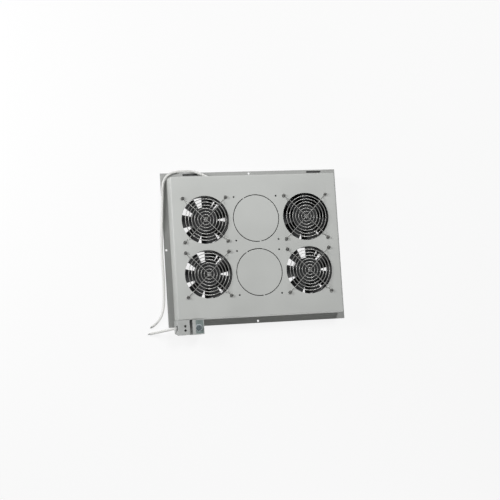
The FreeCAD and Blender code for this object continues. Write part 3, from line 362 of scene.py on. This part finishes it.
def motorCore():
    # stacked silicon steel under brown varnish: fine layers across the axis
    material, tree, place = newFinish("varnished laminations")
    layers = addNode(tree, "ShaderNodeTexWave", {
        "Vector": place, "Scale": 1 / core["layerSize"], "Distortion": 0.4},
        bands_direction="Z")
    colour = addNode(tree, "ShaderNodeMix", {
        0: layers.outputs["Fac"], 6: linear(core["dark"]), 7: linear(core["light"])},
        data_type="RGBA")
    relief = addNode(tree, "ShaderNodeBump", {
        "Height": layers.outputs["Fac"], "Distance": 0.1 * mm, "Strength": 0.5})
    shader = addNode(tree, "ShaderNodeBsdfPrincipled", {
        "Base Color": colour.outputs[2], "Normal": relief.outputs[0],
        "Metallic": 0.4, "Roughness": 0.4})
    addNode(tree, "ShaderNodeOutputMaterial", {"Surface": shader.outputs[0]})
    return material


def mouldedPlastic(name, darkHex, lightHex, patchSize, grainSize, low, high):
    # moulded plastic, rubber or print: even colour, fine grain, roughness between low and high
    material, tree, place = newFinish(name)
    patch = addNode(tree, "ShaderNodeTexNoise", {
        "Vector": place, "Scale": 1 / patchSize, "Detail": 2})
    grain = addNode(tree, "ShaderNodeTexNoise", {
        "Vector": place, "Scale": 1 / grainSize, "Detail": 2})
    even = addNode(tree, "ShaderNodeMapRange", {"Value": patch.outputs["Fac"], **spreadOfNoise})
    colour = addNode(tree, "ShaderNodeMix", {
        0: even.outputs[0], 6: linear(darkHex), 7: linear(lightHex)}, data_type="RGBA")
    sheen = addNode(tree, "ShaderNodeMapRange", {
        "Value": even.outputs[0], "To Min": low, "To Max": high})
    relief = addNode(tree, "ShaderNodeBump", {
        "Height": grain.outputs["Fac"], "Distance": 0.04 * mm, "Strength": 0.5})
    shader = addNode(tree, "ShaderNodeBsdfPrincipled", {
        "Base Color": colour.outputs[2], "Roughness": sheen.outputs[0], "Normal": relief.outputs[0],
        "IOR": 1.53, "Specular IOR Level": 0.4})
    addNode(tree, "ShaderNodeOutputMaterial", {"Surface": shader.outputs[0]})
    return material


sheath = {
    "dark": "ccccc9",
    "light": "dadad8",
    "laySize": 14 * mm,
    "scuffSize": 3 * mm,
    "glowDepth": 2 * mm,
}


def sheathPvc():
    # extruded flexible PVC: white, soft sheen, with a faint lump where the cores twist inside
    material, tree, place = newFinish("extruded white PVC")
    lay = addNode(tree, "ShaderNodeTexNoise", {
        "Vector": place, "Scale": 1 / sheath["laySize"], "Detail": 1})
    scuff = addNode(tree, "ShaderNodeTexNoise", {
        "Vector": place, "Scale": 1 / sheath["scuffSize"], "Detail": 4})
    even = addNode(tree, "ShaderNodeMapRange", {"Value": scuff.outputs["Fac"], **spreadOfNoise})
    colour = addNode(tree, "ShaderNodeMix", {
        0: even.outputs[0], 6: linear(sheath["dark"]), 7: linear(sheath["light"])},
        data_type="RGBA")
    sheen = addNode(tree, "ShaderNodeMapRange", {
        "Value": even.outputs[0], "To Min": 0.34, "To Max": 0.5})
    relief = addNode(tree, "ShaderNodeBump", {
        "Height": lay.outputs["Fac"], "Distance": 0.25 * mm, "Strength": 0.35})
    shader = addNode(tree, "ShaderNodeBsdfPrincipled", {
        "Base Color": colour.outputs[2], "Roughness": sheen.outputs[0], "Normal": relief.outputs[0],
        "IOR": 1.53, "Subsurface Weight": 0.12, "Subsurface Radius": (sheath["glowDepth"],) * 3,
        "Subsurface Scale": 0.5})
    addNode(tree, "ShaderNodeOutputMaterial", {"Surface": shader.outputs[0]})
    return material


# plated and moulded finishes give a name, dark and light colour, sizes of their patterns,
# and lowest and highest roughness
finishes = {
    "powder": powderCoat(),
    "casting": castingPaint(),
    "blade": bladePlastic(),
    "chrome": platedMetal("chrome-plated wire", "7c7c7a", "8c8c8a", 1.2 * mm, 0.22, 0.34),
    "zinc": platedMetal("zinc-plated steel", "4b4b4a", "5d5d5b", 2.5 * mm, 0.32, 0.48),
    "tinned": platedMetal("tinned brass", "b3a877", "d3cdb0", 1.5 * mm, 0.25, 0.4),
    "ferrule": platedMetal("tinned copper", "9b9c9a", "b4b5b3", 1.0 * mm, 0.28, 0.4),
    "bimetal": platedMetal("rolled bimetal", "a39a85", "c4bca8", 1.0 * mm, 0.28, 0.42),
    "shaft": groundSteel(),
    "core": motorCore(),
    "box": mouldedPlastic("moulded grey ABS", "acaeac", "b6b8b6", 16 * mm, 0.8 * mm, 0.5, 0.6),
    "scale": mouldedPlastic("blue-grey scale plate", "707c7a", "7c8886", 9 * mm, 2 * mm, 0.3, 0.4),
    "ring": mouldedPlastic("light printed ring", "b2babd", "bcc4c8", 9 * mm, 2 * mm, 0.3, 0.4),
    "knob": mouldedPlastic("moulded dark knob", "505a5d", "5f6a6d", 5 * mm, 0.6 * mm, 0.35, 0.5),
    "ink": mouldedPlastic("dark pad print", "20262a", "2b3236", 1 * mm, 0.5 * mm, 0.5, 0.65),
    "rubber": mouldedPlastic("black nitrile rubber", "131313", "1c1c1c", 12 * mm, 0.9 * mm, 0.6, 0.8),
    "phenolic": mouldedPlastic("dark phenolic block", "1a1816", "26231f", 12 * mm, 0.7 * mm, 0.35, 0.5),
    "nylon": mouldedPlastic("natural nylon", "dad9d2", "e6e5df", 12 * mm, 1.2 * mm, 0.35, 0.5),
    "sheath": sheathPvc(),
    "brownCore": mouldedPlastic("brown core insulation", "4a2c1a", "5a3822", 6 * mm, 0.8 * mm, 0.4, 0.5),
    "blueCore": mouldedPlastic("blue core insulation", "24507f", "2f6096", 6 * mm, 0.8 * mm, 0.4, 0.5),
    "greenCore": mouldedPlastic("green core insulation", "4c7a2a", "5a8a34", 6 * mm, 0.8 * mm, 0.4, 0.5),
}
report(f"{len(finishes)} finishes")


def addPiece(name, source, finishNames, body="tray"):
    # makes an object of a bmesh that stands in its place in the frame, and frees the bmesh
    mesh = bpy.data.meshes.new(name)
    source.to_mesh(mesh)
    source.free()
    for finishName in finishNames:
        mesh.materials.append(finishes[finishName])
    piece = bpy.data.objects.new(name, mesh)
    bpy.context.scene.collection.objects.link(piece)
    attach(piece, body)
    return piece


def shadeByAngle(source, degrees):
    # smooth faces, with sharp edges where the faces turn by more than the angle
    for face in source.faces:
        face.smooth = True
    for edge in source.edges:
        edge.smooth = edge.calc_face_angle(0) < math.radians(degrees)


def mergeInto(target, source, place, finishIndex=0):
    # adds a copy of one bmesh to another; the place is a vector or a matrix
    mesh = bpy.data.meshes.new("part")
    source.to_mesh(mesh)
    mesh.transform(Matrix.Translation(place) if isinstance(place, Vector) else place)
    first = len(target.faces)
    target.from_mesh(mesh)
    bpy.data.meshes.remove(mesh)
    target.faces.ensure_lookup_table()
    for face in target.faces[first:]:
        face.material_index = finishIndex


def spunProfile(points, steps):
    # a closed round body from its half profile, as (radius, height) in metres
    source = bmesh.new()
    verts = [source.verts.new((radius, 0, height)) for radius, height in points]
    for below, above in zip(verts, verts[1:]):
        source.edges.new((below, above))
    bmesh.ops.spin(source, geom=source.verts[:] + source.edges[:], cent=(0, 0, 0), axis=up,
                   angle=math.tau, steps=steps, use_merge=True)
    bmesh.ops.remove_doubles(source, verts=source.verts, dist=weldGap)
    bmesh.ops.recalc_face_normals(source, faces=source.faces)
    return source


def evaluatedCopy(shown):
    # a bmesh of what an object gives after its modifiers, or of a curve or text
    bpy.context.view_layer.update()
    graph = bpy.context.evaluated_depsgraph_get()
    mesh = bpy.data.meshes.new_from_object(shown.evaluated_get(graph))
    source = bmesh.new()
    source.from_mesh(mesh)
    bpy.data.meshes.remove(mesh)
    return source


def cutWith(source, cutters):
    # takes the cutters out of the body, through a Boolean modifier
    body = bpy.data.objects.new("cutBody", bpy.data.meshes.new("cutBody"))
    source.to_mesh(body.data)
    source.free()
    bpy.context.scene.collection.objects.link(body)
    tools = []
    for cutter in cutters:
        tool = bpy.data.objects.new("cutter", bpy.data.meshes.new("cutter"))
        cutter.to_mesh(tool.data)
        cutter.free()
        bpy.context.scene.collection.objects.link(tool)
        change = body.modifiers.new("cut", "BOOLEAN")
        change.object = tool
        change.operation = "DIFFERENCE"
        change.solver = "EXACT"
        tools.append(tool)
    result = evaluatedCopy(body)
    for spare in tools + [body]:
        bpy.data.objects.remove(spare)
    return result


def smoothLine(name, points, radius, steps, sides):
    # a round bar along a smooth line that passes close to its points, as curve data
    curve = bpy.data.curves.new(name, "CURVE")
    curve.dimensions = "3D"
    spline = curve.splines.new("NURBS")
    spline.points.add(len(points) - 1)
    for control, point in zip(spline.points, points):
        control.co = (*point, 1)
    spline.order_u = 3
    spline.use_endpoint_u = True
    curve.resolution_u = steps
    curve.bevel_depth = radius
    curve.bevel_resolution = sides // 2 - 1
    curve.use_fill_caps = True
    return curve


def wireAlong(points, radius, steps, sides):
    # the same bar as a bmesh
    curve = smoothLine("wire", points, radius, steps, sides)
    holder = bpy.data.objects.new("wire", curve)
    bpy.context.scene.collection.objects.link(holder)
    source = evaluatedCopy(holder)
    bmesh.ops.remove_doubles(source, verts=source.verts, dist=weldGap)
    bmesh.ops.recalc_face_normals(source, faces=source.faces)
    bpy.data.objects.remove(holder)
    bpy.data.curves.remove(curve)
    return source


leads = {
    "radius": 3.0 * mm,
    "steps": 12,
    "sides": 14,
    "coreRadius": 1.1 * mm,
    "coreOffset": 1.35 * mm,
    "coreLength": 2.5 * mm,
    "coreInside": 2 * mm,
    "coreSteps": 3,
    "coreSides": 16,
    "coreTurnDeg": 90,
    "coreFinishes": ["brownCore", "blueCore", "greenCore"],
    "smoothBelow": 50,  # degrees between faces
    "fanLength": 0.548,
    "fanRoute": [
        (-0.038, 0.1554, 0.0148), (-0.061, 0.1554, 0.0148), (-0.083, 0.16, 0.0134),
        (-0.1045, 0.1716, 0.011), (-0.121, 0.1806, 0.0078), (-0.139, 0.188, 0.004),
        (-0.16, 0.1889, 0.0031), (-0.178, 0.1882, 0.0036), (-0.193, 0.1854, 0.005),
        (-0.2046, 0.1784, 0.005), (-0.2124, 0.168, 0.0049), (-0.216, 0.1543, 0.00485),
        (-0.2173, 0.131, 0.00485), (-0.2194, 0.109, 0.00485), (-0.2214, 0.083, 0.0048),
        (-0.2241, 0.049, 0.0035), (-0.2261, 0.014, 0.0031), (-0.2266, -0.025, 0.0031),
        (-0.226, -0.064, 0.0031), (-0.2269, -0.102, 0.0031), (-0.229, -0.132, 0.0031),
        (-0.2336, -0.1505, 0.0031), (-0.241, -0.1645, 0.0031), (-0.252, -0.1752, 0.0031),
        (-0.2596, -0.18, 0.0031),
    ],
    "supplyLength": 0.0763,
    "supplyRoute": [
        (-0.1985, -0.1884, 0.0342), (-0.211, -0.1884, 0.0342), (-0.2232, -0.1903, 0.0297),
        (-0.2347, -0.1923, 0.0201), (-0.2451, -0.194, 0.0101), (-0.255, -0.1956, 0.0055),
        (-0.2653, -0.1972, 0.0038),
    ],
}


def layLead(name, route, cadSheath):
    # the sheath is a curve, and three insulated cores look out of its cut end
    curve = smoothLine(name, route, leads["radius"], leads["steps"], leads["sides"])
    curve.materials.append(finishes["sheath"])
    lead = bpy.data.objects.new(name, curve)
    bpy.context.scene.collection.objects.link(lead)
    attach(lead, "tray")
    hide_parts(cadSheath)

    end = Vector(route[-1])
    way = (end - Vector(route[-2])).normalized()
    aside = way.cross(up).normalized()
    cores = bmesh.new()
    count = len(leads["coreFinishes"])
    for number in range(count):
        turn = math.radians(leads["coreTurnDeg"] + 360 / count * number)
        start = end + Matrix.Rotation(turn, 3, way) @ aside * leads["coreOffset"]
        points = [start + way * along for along in
                  (-leads["coreInside"], leads["coreLength"] / 2, leads["coreLength"])]
        stick = wireAlong(points, leads["coreRadius"], leads["coreSteps"], leads["coreSides"])
        shadeByAngle(stick, leads["smoothBelow"])
        mergeInto(cores, stick, Vector(), number)
        stick.free()
    pieces = [addPiece(name + "Cores", cores, leads["coreFinishes"])]


layLead("fanLead", leads["fanRoute"], "fan_lead")
layLead("supplyLead", leads["supplyRoute"],
        "supply_lead")
report("two leads")


guard = {
    "wire": 0.85 * mm,  # radius of the wire
    "sides": 12,
    "firstRing": 4.5 * mm,
    "ringPitch": 7.5 * mm,
    "rings": 7,
    "ringStep": 2.2 * mm,
    "fewestSteps": 32,
    "weld": 0.25 * mm,
    "height": 6 * mm,
    "spokeAngles": (45, 135),
    "spokeSteps": 4,
    "shoulder": 56 * mm,  # where the spoke leaves the height of the rings
    "ramp": 64.9 * mm,  # and where it reaches the face
    "foot": 70.85 * mm,
    "bend": 1.5 * mm,
    "bendRise": 0.9 * mm,
    "eyelet": 3.4 * mm,
    "eyeletSteps": 28,
    "screwReach": 52.5 * mm,
    "smoothBelow": 50,
}


def wireRing(radius, steps):
    ring = bmesh.new()
    bmesh.ops.create_circle(
        ring, segments=guard["sides"], radius=guard["wire"],
        matrix=Matrix.Translation((radius, 0, 0)) @ Matrix.Rotation(math.pi / 2, 4, "X"))
    bmesh.ops.spin(ring, geom=ring.verts[:] + ring.edges[:], cent=(0, 0, 0), axis=up,
                   angle=math.tau, steps=steps, use_merge=True)
    bmesh.ops.remove_doubles(ring, verts=ring.verts, dist=weldGap)
    bmesh.ops.recalc_face_normals(ring, faces=ring.faces)
    return ring


def weldGuard(number):
    # rings under two crossed spokes that end in eyelets on the face
    low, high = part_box(f"finger_guard_{number}")
    centre = Vector(((low.x + high.x) / 2, (low.y + high.y) / 2, low.z))
    whole = bmesh.new()
    for ringNumber in range(guard["rings"]):
        radius = guard["firstRing"] + ringNumber * guard["ringPitch"]
        steps = max(guard["fewestSteps"], int(math.tau * radius / guard["ringStep"]))
        ring = wireRing(radius, steps)
        mergeInto(whole, ring, centre + up * (guard["height"] - 2 * guard["wire"] + guard["weld"]))
        ring.free()
    profile = [
        (guard["foot"], guard["wire"]),
        (guard["ramp"] + guard["bend"], guard["wire"]),
        (guard["ramp"], guard["wire"]),
        (guard["ramp"] - guard["bend"], guard["wire"] + guard["bendRise"]),
        (guard["shoulder"] + guard["bend"], guard["height"] - guard["bendRise"]),
        (guard["shoulder"], guard["height"]),
        (guard["shoulder"] - guard["bend"], guard["height"]),
    ]
    profile += [(-reach, height) for reach, height in reversed(profile)]
    for angle in guard["spokeAngles"]:
        way = Vector((math.cos(math.radians(angle)), math.sin(math.radians(angle)), 0))
        points = [way * reach + up * height for reach, height in profile]
        spoke = wireAlong(points, guard["wire"], guard["spokeSteps"], guard["sides"])
        mergeInto(whole, spoke, centre)
        spoke.free()
    for sideX in (-1, 1):
        for sideY in (-1, 1):
            eyelet = wireRing(guard["eyelet"], guard["eyeletSteps"])
            corner = Vector((sideX, sideY, 0)) * guard["screwReach"]
            mergeInto(whole, eyelet, centre + corner + up * guard["wire"])
            eyelet.free()
    shadeByAngle(whole, guard["smoothBelow"])
    piece = addPiece(f"guard_{number}", whole, ["chrome"])
    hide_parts(f"finger_guard_{number}")


for number in fanNumbers:
    weldGuard(number)
report("finger guards")


screw = {
    # radius and height over the face of the eyelet, from the crown down
    "profileMm": [(0, 2.8), (1.2, 2.78), (2.3, 2.55), (3.2, 2.05), (3.75, 1.3), (4.0, 0.5),
                  (4.0, 0.0), (2.0, 0.0), (2.0, -13.2), (1.2, -14.0), (0, -14.0)],
    "sides": 32,
    "slotTop": 2.9 * mm,
    "slotWide": 0.85 * mm,
    "slotLong": 4.4 * mm,
    "slotDeep": 1.7 * mm,
    "slotTaper": 0.55,
    "turnStep": 0.7,  # radians between neighbours, as heads stop at any angle
    "smoothBelow": 35,
}


def shapeScrew():
    # a domed head with a cross recess on a plain shank
    body = spunProfile([(reach * mm, height * mm) for reach, height in screw["profileMm"]],
                       screw["sides"])
    cutters = []
    for turn in (0, math.pi / 2):
        bar = bmesh.new()
        size = Matrix.Diagonal((screw["slotLong"], screw["slotWide"], 2 * screw["slotDeep"], 1))
        bmesh.ops.create_cube(bar, size=1, matrix=Matrix.Rotation(turn, 4, "Z") @ size)
        bmesh.ops.translate(bar, verts=bar.verts, vec=up * screw["slotTop"])
        tips = [vert for vert in bar.verts if vert.co.z < screw["slotTop"]]
        bmesh.ops.scale(bar, verts=tips, vec=(screw["slotTaper"], screw["slotTaper"], 1))
        cutters.append(bar)
    body = cutWith(body, cutters)
    shadeByAngle(body, screw["smoothBelow"])
    return body


def driveScrews():
    # one in each eyelet of every guard
    pattern = shapeScrew()
    screws = bmesh.new()
    for number in fanNumbers:
        low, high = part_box(f"finger_guard_{number}")
        middle = (low + high) / 2
        for corner, (sideX, sideY) in enumerate([(-1, -1), (1, -1), (-1, 1), (1, 1)]):
            place = Vector((middle.x + sideX * guard["screwReach"],
                            middle.y + sideY * guard["screwReach"], low.z + 2 * guard["wire"]))
            turned = Matrix.Rotation(screw["turnStep"] * corner + number, 4, "Z")
            mergeInto(screws, pattern, Matrix.Translation(place) @ turned)
    pattern.free()
    screwPiece = addPiece("guardScrews", screws, ["zinc"])
    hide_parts("guard_screws")


driveScrews()
report("guard screws")


knob = {
    "height": 5.5 * mm,
    "stem": 1.5 * mm,
    "radius": 6.5 * mm,
    "sides": 64,
    "skirt": 1.4 * mm,
    "rimRadius": 5.6 * mm,
    "rim": 2 * mm,
    "gripFoot": 1.9 * mm,
    "gripRadius": 5.4 * mm,
    "topRadius": 4.8 * mm,
    "ribs": 24,
    "ribDepth": 0.35 * mm,
    "slotWide": 1.2 * mm,
    "slotLong": 6.8 * mm,
    "slotReach": 2.2 * mm,
    "slotDeep": 1.3 * mm,
    "smoothBelow": 30,
}


def turnKnob():
    # a round skirt on its stem, and a ribbed grip with a pointer slot on top
    low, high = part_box("thermostat_dial")
    centre = Vector(((low.x + high.x) / 2, (low.y + high.y) / 2, 0))
    top = high.z
    foot = top - knob["height"]
    skirt = spunProfile([
        (0, low.z), (knob["stem"], low.z), (knob["stem"], foot), (knob["radius"], foot),
        (knob["radius"], foot + knob["skirt"]), (knob["rimRadius"], foot + knob["rim"]),
        (0, foot + knob["rim"])], knob["sides"])
    grip = bmesh.new()
    bmesh.ops.create_circle(grip, segments=4 * knob["ribs"], radius=knob["gripRadius"],
                            cap_ends=True)
    bmesh.ops.translate(grip, verts=grip.verts, vec=up * (foot + knob["gripFoot"]))
    sides = bmesh.ops.extrude_face_region(grip, geom=grip.faces[:])
    raised = [item for item in sides["geom"] if isinstance(item, bmesh.types.BMVert)]
    bmesh.ops.translate(grip, verts=raised, vec=up * (top - foot - knob["gripFoot"]))
    taper = knob["topRadius"] / knob["gripRadius"]
    bmesh.ops.scale(grip, verts=raised, vec=(taper, taper, 1))
    for vert in grip.verts:
        angle = math.atan2(vert.co.y, vert.co.x)
        if math.cos(angle * knob["ribs"]) < -0.2:  # the valleys, one vertex in four
            vert.co.xy *= 1 - knob["ribDepth"] / knob["radius"]
    bmesh.ops.recalc_face_normals(grip, faces=grip.faces)
    slot = bmesh.new()
    size = Matrix.Diagonal((knob["slotWide"], knob["slotLong"], 2 * knob["slotDeep"], 1))
    bmesh.ops.create_cube(
        slot, size=1, matrix=Matrix.Translation((0, knob["slotReach"], top)) @ size)
    grip = cutWith(grip, [slot])
    whole = bmesh.new()
    mergeInto(whole, skirt, centre)
    mergeInto(whole, grip, centre)
    skirt.free()
    grip.free()
    shadeByAngle(whole, knob["smoothBelow"])
    piece = addPiece("thermostatKnob", whole, ["knob"], "dial")
    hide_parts("thermostat_dial")
    return centre


knobCentre = turnKnob()


scale = {
    "startDeg": -135,
    "sweepDeg": 270,
    "ticks": 13,
    "longEvery": 3,
    "tickFrom": 7.1 * mm,
    "tickTo": 8.3 * mm,
    "tickLonger": 0.5 * mm,
    "tickWide": 0.28 * mm,
    "tickThick": 0.06 * mm,
    "figures": ("0", "15", "30", "45", "60"),
    "figureSize": 2.0 * mm,
    "figureReach": 9.6 * mm,
    "figureRise": 0.03 * mm,
    "ringRadius": 8.8 * mm,
    "ringSides": 96,
    "ringThick": 0.02 * mm,
    "ringMargin": 0.4 * mm,
    "printMargin": 0.2 * mm,
}


def printScale(centre):
    # a light disc under the dial, with dark ticks and figures round it
    low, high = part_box("thermostat_scale")
    middle = centre + up * high.z
    printed = bmesh.new()
    disc = bmesh.new()
    bmesh.ops.create_cone(
        disc, segments=scale["ringSides"], cap_ends=True, radius1=scale["ringRadius"],
        radius2=scale["ringRadius"], depth=scale["ringThick"], matrix=Matrix.Translation(middle))
    margin = scale["ringMargin"]
    for vert in disc.verts:
        vert.co.x = min(max(vert.co.x, low.x + margin), high.x - margin)
        vert.co.y = min(max(vert.co.y, low.y + margin), high.y - margin)
    mergeInto(printed, disc, Vector(), 1)
    disc.free()
    for number in range(scale["ticks"]):
        turn = math.radians(scale["startDeg"] + scale["sweepDeg"] * number / (scale["ticks"] - 1))
        tickTo = scale["tickTo"] + (scale["tickLonger"] if number % scale["longEvery"] == 0 else 0)
        size = (scale["tickWide"], tickTo - scale["tickFrom"], scale["tickThick"], 1)
        tick = bmesh.new()
        bmesh.ops.create_cube(tick, size=1, matrix=Matrix.Diagonal(size))
        outwards = Matrix.Translation((0, (scale["tickFrom"] + tickTo) / 2, 0))
        mergeInto(printed, tick,
                  Matrix.Translation(middle) @ Matrix.Rotation(-turn, 4, "Z") @ outwards)
        tick.free()
    for number, figure in enumerate(scale["figures"]):
        share = number / (len(scale["figures"]) - 1)
        turn = math.radians(scale["startDeg"] + scale["sweepDeg"] * share)
        words = bpy.data.curves.new("figure", "FONT")
        words.body = figure
        words.size = scale["figureSize"]
        words.align_x = "CENTER"
        words.align_y = "CENTER"
        words.extrude = scale["figureRise"]
        holder = bpy.data.objects.new("figure", words)
        bpy.context.scene.collection.objects.link(holder)
        flat = evaluatedCopy(holder)
        reach = Vector((math.sin(turn), math.cos(turn), 0)) * scale["figureReach"]
        mergeInto(printed, flat, middle + reach)
        flat.free()
        bpy.data.objects.remove(holder)
        bpy.data.curves.remove(words)
    edge = scale["printMargin"]
    outside = [vert for vert in printed.verts
               if not (low.x + edge < vert.co.x < high.x - edge
                       and low.y + edge < vert.co.y < high.y - edge)]
    bmesh.ops.delete(printed, geom=outside, context="VERTS")
    addPiece("scalePrint", printed, ["ink", "ring"])


printScale(knobCentre)
report("thermostat")


skin = {
    "merge": 0.002 * mm,
    "smoothBelow": 28,  # degrees between faces
}


def softened(node, finish, body="tray"):
    # the node's own shape with its curved faces shaded smooth
    source = bmesh.new()
    source.from_mesh(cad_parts[node].data)
    bmesh.ops.remove_doubles(source, verts=source.verts, dist=skin["merge"])
    for face in source.faces:
        face.material_index = 0
    shadeByAngle(source, skin["smoothBelow"])
    piece = addPiece(node + "_skin", source, [finish], body)
    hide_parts(node)


def dress(finish, *nodes):
    # a finish for parts whose shape stays as it comes
    for node in nodes:
        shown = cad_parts[node]
        shown.data.materials.clear()
        shown.data.materials.append(finishes[finish])


softened("tray_pan", "powder")
for number in fanNumbers:
    softened(f"fan_frame_{number}", "casting")
    softened(f"fan_rotor_{number}", "blade", f"rotor_{number}")
    dress("shaft", f"fan_shaft_{number}", f"fan_bearings_{number}")
    dress("core", f"fan_stator_{number}")
    dress("tinned", f"fan_terminals_{number}")
for node in ("terminal_housing", "terminal_cover", "thermostat_housing", "thermostat_cover"):
    softened(node, "box")
dress("zinc", "fan_nuts", "terminal_screws", "box_fixings", "earth_stud", "earth_nut")
dress("tinned", "terminal_clamps")
dress("ferrule", "fan_lead_cores", "supply_lead_cores")
dress("phenolic", "terminal_block", "thermostat_contacts")
dress("rubber", "slot_plugs", "supply_grommet", "wiring_grommets", "lead_edging")
dress("scale", "thermostat_scale")
dress("nylon", "thermostat_cam", "lead_connector")
dress("bimetal", "thermostat_bimetal")
report("finishes on the frame's parts")
